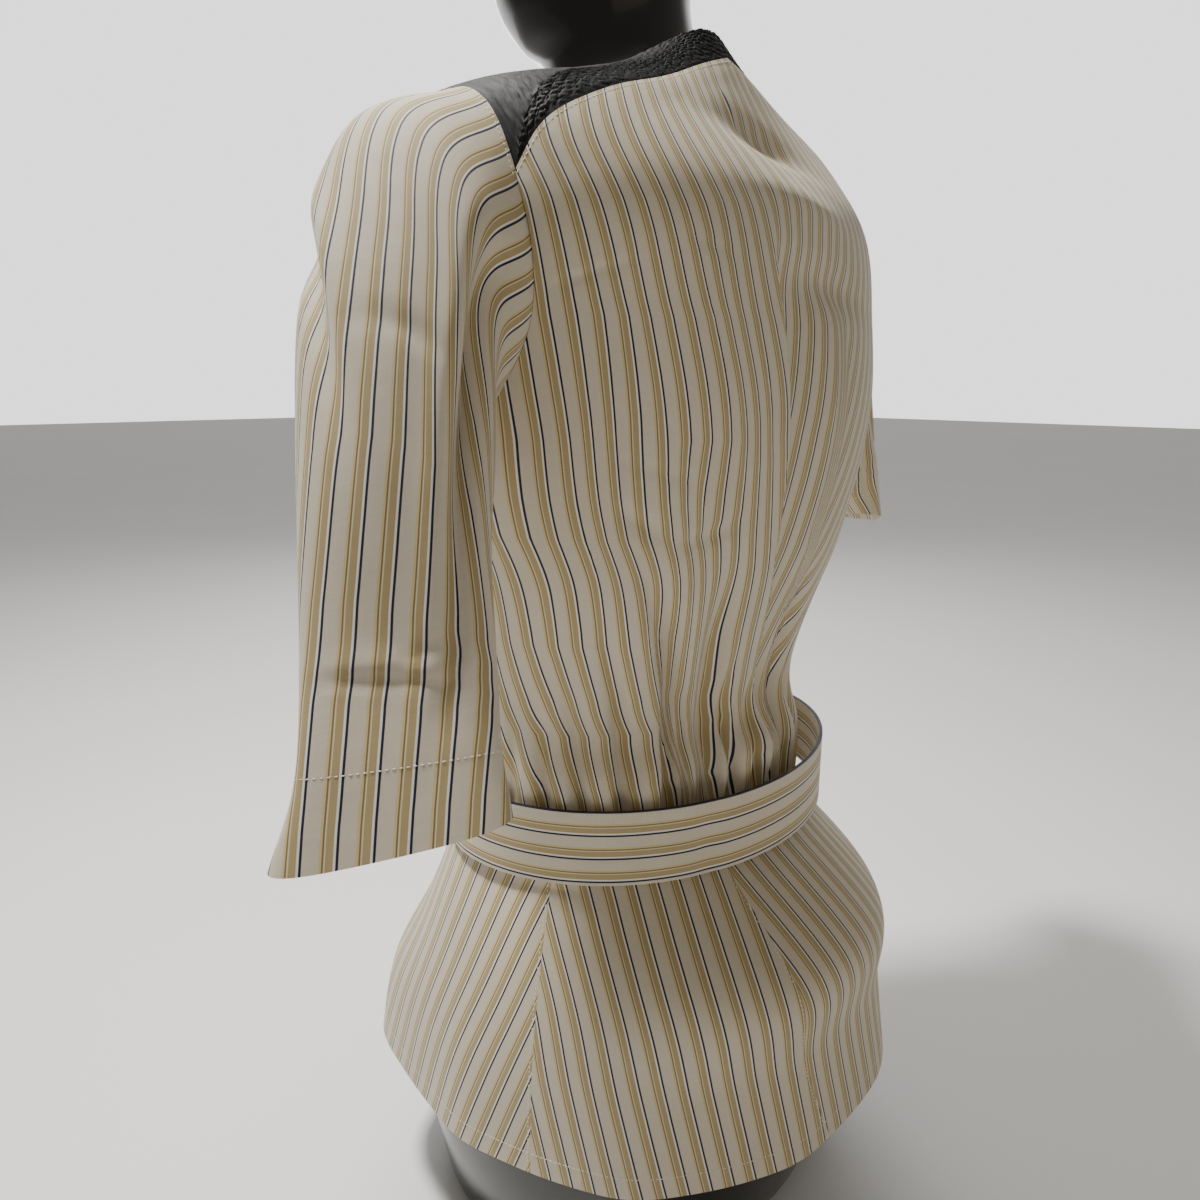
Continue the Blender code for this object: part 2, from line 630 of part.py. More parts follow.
def dress_form(material):
    """The limbless form inside the jacket: hips, waist, chest, shoulders and neck, with a flat base."""
    rings = []
    angles = [360 * step / FORM_AROUND for step in range(FORM_AROUND)]
    for row in FORM_RINGS:
        ring = []
        for angle in angles:
            radius = section_radius(angle, row["side"], row["back"], row["front"], 2.2)
            turn = math.radians(angle + row["twist"])
            ring.append(Vector((radius * math.cos(turn), radius * math.sin(turn), row["z"])))
        rings.append(ring)
    inset = CLOTH + FORM_CLEAR
    for station, narrower in ((7.0, 0.012), (7.5, 0.006), (8.0, 0.0015), (8.5, 0.0), (9.0, 0.0)):
        ring = []
        for angle in angles:
            place = torso_point(angle, station)
            level = Vector((place.x, place.y, 0)).normalized()
            ring.append(place - level * (inset + narrower) - Vector((0, 0, inset)))
        rings.append(ring)
    for row in NECK_RINGS:
        ring = []
        for angle in angles:
            turn = math.radians(angle)
            x, y = row["left"] + row["side"] * math.cos(turn), row["deep"] * math.sin(turn) - row["lean"]
            ring.append(Vector((x, y, row["z"])))
        rings.append(ring)
    shape = bmesh.new()
    verts = [[shape.verts.new(point) for point in ring] for ring in rings]
    for low, high in zip(verts, verts[1:]):
        for i in range(FORM_AROUND):
            k = (i + 1) % FORM_AROUND
            shape.faces.new((low[i], low[k], high[k], high[i]))
    shape.faces.new(list(reversed(verts[0])))
    shape.faces.new(verts[-1])
    return finish_solid("dress_form", shape, material)


def main():
    for old in list(bpy.data.objects):
        bpy.data.objects.remove(old)
    striped = make_material("striped_shirting", (0.74, 0.68, 0.56), 0.75)
    black = make_material("black_relief_weave", (0.022, 0.022, 0.025), 0.80)
    gloss = make_material("black_gloss", (0.012, 0.012, 0.012), 0.18)
    dress_form(gloss)
    yoke(black)
    bodice_back(striped)
    bodice_fronts(striped)
    sleeve_pair(striped)
    belt(striped)
    peplum(striped)


main()
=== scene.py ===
"""Short-sleeved striped jacket on a limbless dress form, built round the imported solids."""

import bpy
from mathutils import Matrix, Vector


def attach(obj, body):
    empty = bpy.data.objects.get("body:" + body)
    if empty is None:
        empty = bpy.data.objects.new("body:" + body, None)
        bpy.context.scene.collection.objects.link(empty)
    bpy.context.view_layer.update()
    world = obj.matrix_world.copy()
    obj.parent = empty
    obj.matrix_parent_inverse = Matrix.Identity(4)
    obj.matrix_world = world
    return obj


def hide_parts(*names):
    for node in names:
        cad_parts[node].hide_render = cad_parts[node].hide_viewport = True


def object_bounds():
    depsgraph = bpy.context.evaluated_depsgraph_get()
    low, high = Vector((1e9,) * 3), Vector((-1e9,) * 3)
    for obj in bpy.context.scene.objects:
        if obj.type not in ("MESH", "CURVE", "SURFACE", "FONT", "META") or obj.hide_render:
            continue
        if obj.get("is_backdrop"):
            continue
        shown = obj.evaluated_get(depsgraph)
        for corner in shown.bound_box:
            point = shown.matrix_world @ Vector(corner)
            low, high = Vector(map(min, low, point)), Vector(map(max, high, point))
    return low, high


bl_info = {
    "name": "Striped peplum jacket",
    "version": (1, 0, 0),
    "blender": (4, 5, 0),
    "location": "3D View > Sidebar > Jacket",
    "description": "Builds a striped jacket with a relief-woven yoke, a belt and a flared peplum",
    "category": "Object",
}

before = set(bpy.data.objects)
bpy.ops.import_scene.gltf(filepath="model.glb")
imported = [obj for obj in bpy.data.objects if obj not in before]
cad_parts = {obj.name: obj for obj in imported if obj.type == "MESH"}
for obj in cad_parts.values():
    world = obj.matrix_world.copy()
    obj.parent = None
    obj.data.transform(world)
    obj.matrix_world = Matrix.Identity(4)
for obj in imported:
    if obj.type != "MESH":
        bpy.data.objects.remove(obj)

import math

import bpy
import numpy as np
from mathutils import Matrix, Vector

CAD_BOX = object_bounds()

# Cloth walls
CLOTH = 0.0011          # one layer of shirting
DOUBLE = 0.0021         # a turned hem, or the interfaced belt
BELT_Z = 0.2737
BELT_HIGH = 0.0435
HEM_Z = 0.0950

# The torso's sections, as in the part's source
TORSO_COLUMNS = ("side", "back", "front", "side_z", "back_z", "front_z", "square", "shift", "twist")
TORSO = {
    "waist": (0.122, 0.101, 0.086, 0.262, 0.262, 0.262, 2.1, 0.006, 0.0),
    "belt top": (0.122, 0.101, 0.086, 0.298, 0.298, 0.298, 2.1, 0.006, 0.0),
    "tuck": (0.119, 0.091, 0.088, 0.345, 0.345, 0.345, 2.1, 0.004, 0.0),
    "ribs": (0.136, 0.117, 0.106, 0.430, 0.430, 0.430, 2.2, 0.002, 2.0),
    "chest": (0.152, 0.126, 0.120, 0.500, 0.500, 0.500, 2.3, 0.000, 4.0),
    "blades": (0.163, 0.119, 0.110, 0.560, 0.560, 0.560, 2.4, 0.000, 6.0),
    "notch": (0.161, 0.104, 0.094, 0.608, 0.612, 0.600, 2.8, 0.000, 7.0),
    "shoulder": (0.149, 0.077, 0.072, 0.648, 0.650, 0.632, 2.7, 0.000, 7.0),
    "slope": (0.100, 0.062, 0.062, 0.665, 0.676, 0.645, 2.4, 0.000, 7.0),
    "neckline": (0.057, 0.046, 0.056, 0.675, 0.702, 0.648, 2.0, 0.000, 7.0),
}
YOKE_SEAM = {"reach": (0.0, 0.2, 0.4, 0.6, 0.8, 1.0), "angle": (17.5, 21.0, 27.0, 37.0, 57.0, 90.0),
             "station": (6.00, 6.45, 6.80, 7.28, 8.00, 8.42)}
ARMHOLE = {"turn": (0.0, 20.0, 40.0, 60.0, 90.0, 120.0, 150.0, 180.0),
           "angle": (0.0, 6.0, 12.5, 17.5, 21.0, 20.0, 12.0, 0.0),
           "station": (7.08, 6.98, 6.62, 6.00, 5.25, 4.62, 4.12, 3.92)}
YOKE_TUCK = 0.05         # share of the yoke that runs under the panels
YOKE_CUT = (0.30, 0.26)  # the rectangle that the opened-out yoke is cut from
NOTCH_TURN = 60.0
NOTCH_NECK_ANGLE = 35.0
SIDE_SHARE = 13 / 21    # share of a bodice panel's height that lies below the armhole

# A sleeve's sections: its outer line, back fold, underarm line and front fold
SLEEVE = {
    "cap": ((0.189, 0.022, 0.631), (0.169, 0.082, 0.550), (0.170, 0.016, 0.473), (0.186, -0.030, 0.560)),
    "upper": ((0.212, 0.050, 0.578), (0.181, 0.093, 0.505), (0.181, 0.030, 0.447), (0.217, 0.001, 0.525)),
    "middle": ((0.229, 0.074, 0.500), (0.191, 0.102, 0.455), (0.197, 0.048, 0.422), (0.240, 0.035, 0.465)),
    "lower": ((0.241, 0.094, 0.420), (0.202, 0.120, 0.404), (0.216, 0.070, 0.388), (0.258, 0.064, 0.412)),
    "stitch": ((0.252, 0.108, 0.377), (0.208, 0.130, 0.380), (0.227, 0.082, 0.366), (0.272, 0.082, 0.372)),
    "hem": ((0.258, 0.120, 0.347), (0.212, 0.140, 0.357), (0.236, 0.092, 0.350), (0.288, 0.087, 0.341)),
}
SLEEVE_STITCH = 5 / 6   # share of the sleeve's length at the hem's stitching
RIGHT_SWING = (-0.005, -0.100, 0.065)
SWING_POWER = 0.6
ARMHOLE_SEAM = 0.0001

PEPLUM_COLUMNS = ("side", "back", "front", "z", "shift")
PEPLUM = {
    "waist": (0.122, 0.101, 0.086, 0.2615, 0.006),
    "belt edge": (0.1235, 0.104, 0.088, 0.250, 0.006),
    "high hip": (0.149, 0.163, 0.105, 0.200, -0.001),
    "hip": (0.160, 0.163, 0.134, 0.150, 0.000),
    "hem": (0.164, 0.170, 0.150, HEM_Z, 0.000),
}
# Each peplum panel: both seams' angles at waist and hem, and how far they bend aside between; the line
# that its stripes are set out from, and their lean off it; and a spot on a navy stripe
PANEL_COLUMNS = ("waist_from", "hem_from", "bend_from", "waist_to", "hem_to", "bend_to",
                 "ref_waist", "ref_hem", "lean", "navy_angle", "navy_down")
PANELS = {
    "peplum_front_left": (-90.0, -90.0, 0.0, 24.0, 25.0, 0.0, 24.0, 25.0, -0.40, 21.9, 0.84),
    "peplum_back_left": (24.0, 25.0, 0.0, 80.0, 87.0, -6.0, 43.0, 59.6, 0.0, 52.7, 0.60),
    "peplum_back_right": (80.0, 87.0, -6.0, 150.0, 150.0, 0.0, 78.0, 92.0, 0.0, 87.3, 0.36),
    "peplum_front_right": (150.0, 150.0, 0.0, 270.0, 270.0, 0.0, 150.0, 150.0, 0.40, 156.0, 0.50),
}
PEPLUM_REPEAT = 0.0129  # the stripes' repeat as it lies on the peplum's form
FLUTES = (
    (-66.0, 0.006, 9.0), (-33.0, 0.011, 13.0), (8.0, 0.003, 8.0), (44.0, 0.003, 9.0), (78.0, 0.002, 9.0),
    (112.0, 0.003, 12.0), (176.0, 0.007, 13.0), (214.0, 0.009, 12.0), (248.0, 0.006, 9.0),
)

BELT_SHIFT, BELT_SIDE, BELT_BACK, BELT_FRONT, BELT_LAP = -0.003, 0.137, 0.113, 0.097, 30.0

# Stripes of the back: station, millimetres from the centre back to the stripe by the notch, repeat
STRIPE_STATION = (0.0, 1.05, 2.13, 2.81, 3.49, 4.19, 4.91, 5.72, 6.30, 6.94, 7.70, 8.42)
STRIPE_FIRST = (-86.0, -90.0, -97.0, -116.0, -140.0, -154.4, -163.6, -172.0, -176.0, -163.0, -141.0, -118.0)
STRIPE_REPEAT = (12.0, 12.2, 12.1, 12.0, 12.3, 12.0, 11.0, 10.8, 10.9, 10.2, 8.8, 7.4)
# How far the stripes stand aside of that, in repeats, by station and by place in repeats from the notch.
# The jump between 3.3 and 3.8 low on the back is the cloth that the deep valley takes in
SHIFT_AT = (-4.0, -2.0, 0.0, 2.0, 3.3, 3.8, 5.0, 7.0, 9.0)
STRIPE_SHIFT = {
    1.2: (-1.60, -1.60, -1.15, -1.00, -1.00, 1.00, 2.90, 2.80, 2.70),
    1.8: (-1.20, -1.65, -1.45, -1.40, -1.40, 0.30, 2.00, 2.00, 2.35),
    2.5: (0.10, -0.20, -0.33, -0.33, 0.20, 0.60, 1.60, 1.90, 2.00),
    3.2: (0.90, 0.30, 0.10, 0.50, 0.50, 0.60, 1.40, 1.45, 1.65),
    3.9: (0.80, 0.13, 0.00, 0.30, 0.26, 0.26, 0.30, 0.50, 1.36),
    4.8: (0.25, 0.30, 0.05, -0.10, -0.10, 0.00, 0.00, 0.00, 0.40),
    5.8: (-0.30, -0.30, -0.20, 0.00, 0.10, 0.10, 0.20, 0.25, 0.00),
    6.8: (-0.20, -0.20, -0.20, -0.10, 0.06, 0.06, 0.26, 0.35, 0.43),
    7.8: (-0.10, -0.10, -0.10, -0.10, -0.10, -0.10, 0.20, 0.47, 0.76),
}
CENTRE_STRIPE = 16.0    # repeats from the notch to the centre back, where nothing is folded away
REPEAT = 0.0138         # width of one repeat of the stripes

# Folds of the back: heights and angles of three points from low to high, depth, half widths in degrees
# left and right of the line, and the share of its height over which each end fades
FOLD_COLUMNS = ("low_z", "mid_z", "high_z", "low", "mid", "high",
                "deep", "left", "right", "fade_low", "fade_high")
FOLDS = {
    "deep valley": (0.262, 0.350, 0.450, 57.5, 57.0, 42.0, 0.0120, 2.2, 5.0, 0.05, 0.45),
    "second valley": (0.262, 0.345, 0.445, 69.5, 73.5, 66.0, 0.0098, 5.0, 3.8, 0.05, 0.40),
    "shade step": (0.310, 0.430, 0.595, 106.0, 84.0, 72.0, 0.0080, 1.2, 16.0, 0.20, 0.12),
    "right valley": (0.262, 0.340, 0.440, 112.0, 116.0, 101.0, 0.0090, 3.0, 4.5, 0.05, 0.40),
    "left valley": (0.262, 0.320, 0.420, 44.0, 42.0, 34.0, 0.0075, 1.8, 3.2, 0.05, 0.60),
    "left small": (0.262, 0.300, 0.380, 33.0, 31.0, 25.0, 0.0062, 1.6, 2.8, 0.05, 0.60),
    "left outer": (0.262, 0.295, 0.360, 24.0, 22.0, 18.0, 0.0055, 1.8, 2.4, 0.05, 0.60),
    "middle small": (0.262, 0.300, 0.370, 64.0, 63.5, 62.0, 0.0050, 1.4, 1.8, 0.05, 0.60),
    "between": (0.262, 0.300, 0.380, 79.0, 81.0, 80.0, 0.0068, 2.2, 2.0, 0.05, 0.50),
    "blouse fold": (0.262, 0.300, 0.360, 89.0, 92.0, 94.0, 0.0078, 2.0, 3.0, 0.05, 0.50),
    "right small": (0.262, 0.300, 0.370, 101.0, 103.0, 105.0, 0.0050, 2.0, 2.2, 0.05, 0.55),
    "right outer": (0.262, 0.320, 0.420, 128.0, 130.0, 126.0, 0.0060, 2.6, 4.0, 0.05, 0.55),
    "right side": (0.262, 0.310, 0.400, 143.0, 144.0, 142.0, 0.0050, 2.4, 3.4, 0.05, 0.60),
    "far side": (0.262, 0.300, 0.370, 156.0, 157.0, 158.0, 0.0040, 2.4, 2.8, 0.05, 0.60),
    "near side": (0.262, 0.300, 0.370, 12.0, 12.0, 10.0, 0.0040, 2.4, 2.8, 0.05, 0.60),
}
# Soft cross troughs of the back: angle and height of the middle, lean of the line in degrees, depth,
# half length and half width in millimetres
MM_A_DEGREE = 2.0        # how far a degree reaches round the back
HOLLOW_COLUMNS = ("angle", "z", "lean", "deep", "half_long", "half_wide")
HOLLOWS = {
    "below the neck": (88.0, 0.641, -6.0, 0.0050, 45.0, 9.0),
    "over the blade": (92.0, 0.608, -8.0, -0.0035, 42.0, 11.0),
    "under the blade": (100.0, 0.570, -10.0, 0.0050, 34.0, 12.0),
    "press crease left": (30.0, 0.566, 24.0, 0.0009, 14.0, 2.6),
    "press crease right": (52.0, 0.580, -16.0, 0.0008, 12.0, 2.4),
    "left blade": (36.0, 0.585, 4.0, -0.0020, 40.0, 22.0),
    "small fold": (44.0, 0.452, -35.0, 0.0022, 14.0, 4.0),
    "small fold two": (58.0, 0.446, 20.0, 0.0018, 16.0, 4.0),
    "crossing crease": (46.0, 0.478, -20.0, 0.0010, 18.0, 2.2),
    "blouse": (98.0, 0.312, 0.0, -0.0060, 60.0, 14.0),
    "blouse left": (40.0, 0.312, 0.0, -0.0020, 60.0, 12.0),
}
# The same kind for a sleeve, by its turn and share of length; lengths in millimetres along it
SLEEVE_MM_A_DEGREE = 0.8
SLEEVE_MM_LONG = 290
SLEEVE_HOLLOW_COLUMNS = ("turn", "along", "lean", "deep", "half_long", "half_wide")
SLEEVE_HOLLOWS = {
    "deep back fold": (66.0, 0.36, 78.0, 0.0125, 75.0, 7.5),
    "back fold lip": (48.0, 0.42, 80.0, -0.0030, 80.0, 9.0),
    "front fold": (-46.0, 0.33, 118.0, 0.0080, 42.0, 8.0),
    "front fold lip": (-28.0, 0.34, 110.0, -0.0025, 45.0, 8.0),
    "pressed line": (4.0, 0.700, 3.0, 0.0011, 34.0, 2.6),
    "pressed line lip": (4.0, 0.684, 3.0, -0.0008, 34.0, 4.0),
    "elbow crease": (30.0, 0.655, 30.0, 0.0010, 16.0, 2.4),
    "cap crease": (20.0, 0.40, 8.0, 0.0010, 22.0, 3.0),
    "underarm": (180.0, 0.28, 40.0, 0.0070, 30.0, 12.0),
    "under fold": (150.0, 0.45, 85.0, 0.0050, 50.0, 9.0),
    "front lower": (-110.0, 0.50, 88.0, 0.0040, 60.0, 9.0),
    "back lower": (104.0, 0.70, 84.0, 0.0040, 50.0, 9.0),
}


def smooth_between(values, position):
    """A smooth curve through evenly spaced values, read at positions counted in steps."""
    values = np.asarray(values, float)
    position = np.asarray(position, float)
    last = len(values) - 1
    low = np.clip(np.floor(position).astype(int), 0, last - 1)
    part = position - low
    held = np.concatenate([2 * values[:1] - values[1:2], values, 2 * values[-1:] - values[-2:-1]])
    before, first, second, after = held[low], held[low + 1], held[low + 2], held[low + 3]
    part = part.reshape(part.shape + (1,) * (values.ndim - 1))
    square, cube = part ** 2, part ** 3
    slope_first, slope_second = (second - before) / 2, (after - first) / 2
    return (first * (2 * cube - 3 * square + 1) + slope_first * (cube - 2 * square + part)
            + second * (3 * square - 2 * cube) + slope_second * (cube - square))


def look_up(keys, values, value):
    """A smooth curve through values at uneven keys."""
    keys = np.asarray(keys, float)
    position = np.interp(value, keys, np.arange(len(keys)))
    return smooth_between(values, position)


def section_radius(angle, side, back, front, square):
    """Radius of a squared oval that is deeper or shallower at the back than at the front."""
    cosine, sine = np.cos(np.radians(angle)), np.sin(np.radians(angle))
    deep = np.where(sine > 0, back, front)
    return ((np.abs(cosine) / side) ** square + (np.abs(sine) / deep) ** square) ** (-1 / square)


def bell(distance, half):
    """A smooth bump that falls off with distance."""
    return np.exp(-((distance / half) ** 2))


def ease(value):
    """A smooth step from 0 to 1."""
    held = np.clip(value, 0.0, 1.0)
    return held * held * (3 - 2 * held)


def stack(*parts):
    """Arrays joined as the last axis of one."""
    return np.stack(np.broadcast_arrays(*parts), axis=-1)


def read_rows(table, columns):
    """The rows of a table, each as a dictionary by the names of its columns."""
    return [dict(zip(columns, row)) for row in table.values()]


TORSO_VALUES = np.array(list(TORSO.values()))


def torso_height(angle, station):
    """Height of the torso's form at angles and stations."""
    read = smooth_between(TORSO_VALUES, station)
    sine = np.sin(np.radians(angle))
    end = np.where(sine > 0, read[..., 4], read[..., 5])
    return read[..., 3] + (end - read[..., 3]) * sine * sine


def torso_point(angle, station, inset=0.0):
    """Points of the jacket's smooth form at angles and stations, set in by a depth."""
    angle, station = np.broadcast_arrays(np.asarray(angle, float), np.asarray(station, float))
    read = smooth_between(TORSO_VALUES, station)
    radius = section_radius(angle, read[..., 0], read[..., 1], read[..., 2], read[..., 6]) - inset
    turned = np.radians(angle + read[..., 8])
    height = torso_height(angle, station)
    return stack(read[..., 7] + radius * np.cos(turned), radius * np.sin(turned), height)


def back_inset(angle, station):
    """How far the folded back lies inside its smooth form."""
    height = torso_height(angle, station)
    depth = np.zeros_like(angle)
    for fold in read_rows(FOLDS, FOLD_COLUMNS):
        middle = np.interp(height, [fold["low_z"], fold["mid_z"], fold["high_z"]],
                           [fold["low"], fold["mid"], fold["high"]])
        share = (height - fold["low_z"]) / (fold["high_z"] - fold["low_z"])
        fade = ease((1 - share) / fold["fade_high"]) * ease(share / fold["fade_low"] + 0.5)
        off = angle - middle
        side = np.where(off < 0, bell(off, fold["left"]), bell(off, fold["right"]))
        depth += fold["deep"] * fade * side
    for spot in read_rows(HOLLOWS, HOLLOW_COLUMNS):
        depth += hollow(spot, (angle - spot["angle"]) * MM_A_DEGREE, (height - spot["z"]) * 1000)
    return depth


def hollow(spot, across, up):
    """Depth of a leaning trough, from millimetres across and up from its middle."""
    lean = math.radians(spot["lean"])
    along = across * math.cos(lean) + up * math.sin(lean)
    beside = up * math.cos(lean) - across * math.sin(lean)
    return spot["deep"] * bell(along, spot["half_long"]) * bell(beside, spot["half_wide"])


def arc_from(centre, angle, station):
    """Length round the smooth form from a centre line, in metres."""
    steps = np.linspace(0.0, 1.0, 25)
    turns = centre + (angle[..., None] - centre) * steps
    places = torso_point(turns, np.broadcast_to(station[..., None], turns.shape))
    return np.sign(angle - centre) * np.linalg.norm(np.diff(places, axis=-2), axis=-1).sum(axis=-1)


def stripe_shift(station, place):
    """The stripes' shift, read between the table's stations and places."""
    keys = np.array(list(STRIPE_SHIFT))
    rows = np.array([np.interp(place, SHIFT_AT, row) for row in STRIPE_SHIFT.values()])
    at = np.clip(np.interp(station, keys, np.arange(len(keys))), 0, len(keys) - 1.001)
    low = np.floor(at).astype(int)
    first = np.take_along_axis(rows, low[None], 0)[0]
    second = np.take_along_axis(rows, low[None] + 1, 0)[0]
    return first + (second - first) * (at - low)


def back_stripe(angle, station):
    """Cloth coordinate across the back's stripes: they run in to the waist from both sides."""
    arc = arc_from(90.0, angle, station) * 1000
    first = look_up(STRIPE_STATION, STRIPE_FIRST, station)
    repeat = look_up(STRIPE_STATION, STRIPE_REPEAT, station)
    left = (arc - first) / repeat
    left = left + stripe_shift(station, left)
    right = 2 * CENTRE_STRIPE - (-arc - first) / repeat
    height = torso_height(angle, station)
    row = FOLDS["shade step"]
    step = np.interp(height, row[:3], row[3:6])
    valley = FOLDS["right valley"]
    second = np.interp(height, valley[:3], valley[3:6])
    middle = (left + right) / 2
    inner = ease((angle - step) / 4 + 0.5)
    outer = ease((angle - second) / 6 + 0.5)
    return (left + (middle - left) * inner + (right - middle) * outer) * REPEAT


def armhole_at(turn):
    """The armhole's angle and station at a turn from its top."""
    turn = np.asarray(turn, float) % 360
    half = np.where(turn <= 180, turn, 360 - turn)
    angle = look_up(ARMHOLE["turn"], ARMHOLE["angle"], half)
    return np.where(turn <= 180, angle, -angle), look_up(ARMHOLE["turn"], ARMHOLE["station"], half)


def seam_at(reach):
    """The yoke seam's angle and station, from the notch (reach 0) to the centre back (reach 1)."""
    return [look_up(YOKE_SEAM["reach"], YOKE_SEAM[key], reach) for key in ("angle", "station")]


def panel_place(across, up):
    """Angle and station of a bodice panel between its edge (across 0) and the centre (across 1)."""
    low = ARMHOLE["station"][-1] * up / SIDE_SHARE
    turn = 180 - (180 - NOTCH_TURN) * np.clip((up - SIDE_SHARE) / (1 - SIDE_SHARE), 0, 1)
    hole_angle, hole_station = armhole_at(turn)
    below = up <= SIDE_SHARE
    edge_angle = np.where(below, 0.0, hole_angle)
    edge_station = np.where(below, low, hole_station)
    seam_angle, seam_station = seam_at(across)
    first, last = YOKE_SEAM["station"][0], YOKE_SEAM["station"][-1]
    rise = (seam_station - first) / (last - first)
    first_angle, last_angle = YOKE_SEAM["angle"][0], YOKE_SEAM["angle"][-1]
    seam_share = (seam_angle - first_angle) / (last_angle - first_angle)
    share = across + (seam_share - across) * up * up
    level = (1 - np.cos(np.pi * across)) / 2
    climb = level + (rise - level) * up ** 3
    return edge_angle + (90 - edge_angle) * share, edge_station + (last * up - edge_station) * climb


SEAM_MERGE = 0.00002
STITCH_SHARE = 0.72      # share of a stitch's pitch that shows
THREAD_WIDE, THREAD_HIGH = 0.000315, 0.000252
EDGE_STITCH = 0.0022     # from an edge to its topstitching
NARROW_STITCH = 0.0016
HEM_STITCH = 0.012
BACK_GRID, FRONT_GRID = (220, 190), (70, 110)
SLEEVE_GRID, YOKE_ROWS, PEPLUM_ROWS = (144, 120), 97, 61
BELT_GRID = (261, 13)


def grid_normals(points, closed):
    """Outward normals of a grid of points indexed by column and row."""
    if closed:
        ahead, behind = np.roll(points[:-1], -1, 0), np.roll(points[:-1], 1, 0)
        along = np.concatenate([ahead - behind, (ahead - behind)[:1]])
    else:
        along = np.gradient(points, axis=0)
    normals = np.cross(along, np.gradient(points, axis=1))
    return normals / np.maximum(np.linalg.norm(normals, axis=-1, keepdims=True), 1e-12)


def run_along(points, axis):
    """Cumulative length of a grid of points along its columns (1) or across them (0)."""
    steps = np.linalg.norm(np.diff(points, axis=axis), axis=-1)
    start = np.zeros_like(np.take(steps, [0], axis=axis))
    return np.concatenate([start, np.cumsum(steps, axis=axis)], axis=axis)


def grid_piece(name, points):
    """A primitive grid with every vertex moved to its place, and each vertex's column and row."""
    columns, rows = points.shape[:2]
    bpy.ops.object.select_all(action="DESELECT")
    bpy.ops.mesh.primitive_grid_add(x_subdivisions=columns - 1, y_subdivisions=rows - 1, size=1)
    piece = bpy.context.object
    piece.name = name
    mesh = piece.data
    mesh.name = name
    flat = np.empty(len(mesh.vertices) * 3)
    mesh.vertices.foreach_get("co", flat)
    i = np.rint((flat[0::3] + 0.5) * (columns - 1)).astype(int)
    j = np.rint((flat[1::3] + 0.5) * (rows - 1)).astype(int)
    mesh.vertices.foreach_set("co", points[i, j].ravel())
    return piece, i, j


def join_seam():
    """Merges the points that meet where a grid closes on itself; leaves edit mode on."""
    bpy.ops.object.mode_set(mode="EDIT")
    bpy.ops.mesh.select_all(action="SELECT")
    bpy.ops.mesh.remove_doubles(threshold=SEAM_MERGE)


def sheet_mesh(name, points, cloth, wall, closed=False, thick_rows=None):
    """A cloth shell from a grid of points, with its wall inwards."""
    piece, i, j = grid_piece(name, points)
    mesh = piece.data
    layer = mesh.uv_layers.active
    layer.name = "cloth"
    index = np.empty(len(mesh.loops), dtype=int)
    mesh.loops.foreach_get("vertex_index", index)
    layer.data.foreach_set("uv", cloth[i[index], j[index]].ravel())
    solid = piece.modifiers.new("wall", "SOLIDIFY")
    solid.thickness = wall
    solid.offset = -1.0
    if thick_rows is not None:
        group = piece.vertex_groups.new(name="doubled")
        group.add([int(k) for k in np.nonzero(thick_rows[j])[0]], 1.0, "REPLACE")
        solid.vertex_group = group.name
        solid.thickness_vertex_group = CLOTH / wall
    if closed:
        join_seam()
        bpy.ops.object.mode_set(mode="OBJECT")
    bpy.ops.object.modifier_apply(modifier=solid.name)
    bpy.ops.object.shade_smooth_by_angle(angle=math.radians(50))
    return piece


def closed_solid(name, points):
    """A closed body from a grid of rings, its seam joined and its ends filled."""
    piece, _, _ = grid_piece(name, points)
    join_seam()
    bpy.ops.mesh.select_all(action="DESELECT")
    bpy.ops.mesh.select_mode(type="EDGE")
    bpy.ops.mesh.select_non_manifold(extend=False)
    bpy.ops.mesh.edge_face_add()
    bpy.ops.mesh.select_all(action="SELECT")
    bpy.ops.mesh.normals_make_consistent(inside=False)
    bpy.ops.object.mode_set(mode="OBJECT")
    bpy.ops.object.shade_smooth_by_angle(angle=math.radians(40))
    return piece


def read_line(line, run, at):
    """The point of a line of points at a distance along it."""
    return np.array([np.interp(at, run, line[:, k]) for k in range(3)])


def border_line(points, edge, away):
    """A line on a grid, a distance away from one of its edges: its points and outward normals."""
    normals = grid_normals(points, False)
    if edge in ("left", "right"):
        points, normals = points.transpose(1, 0, 2), normals.transpose(1, 0, 2)
    if edge in ("top", "right"):
        points, normals = points[:, ::-1], normals[:, ::-1]
    runs = run_along(points, 1)
    places = [read_line(line, run, away) for line, run in zip(points, runs)]
    faces = [read_line(face, run, away) for face, run in zip(normals, runs)]
    return np.array(places), np.array(faces)


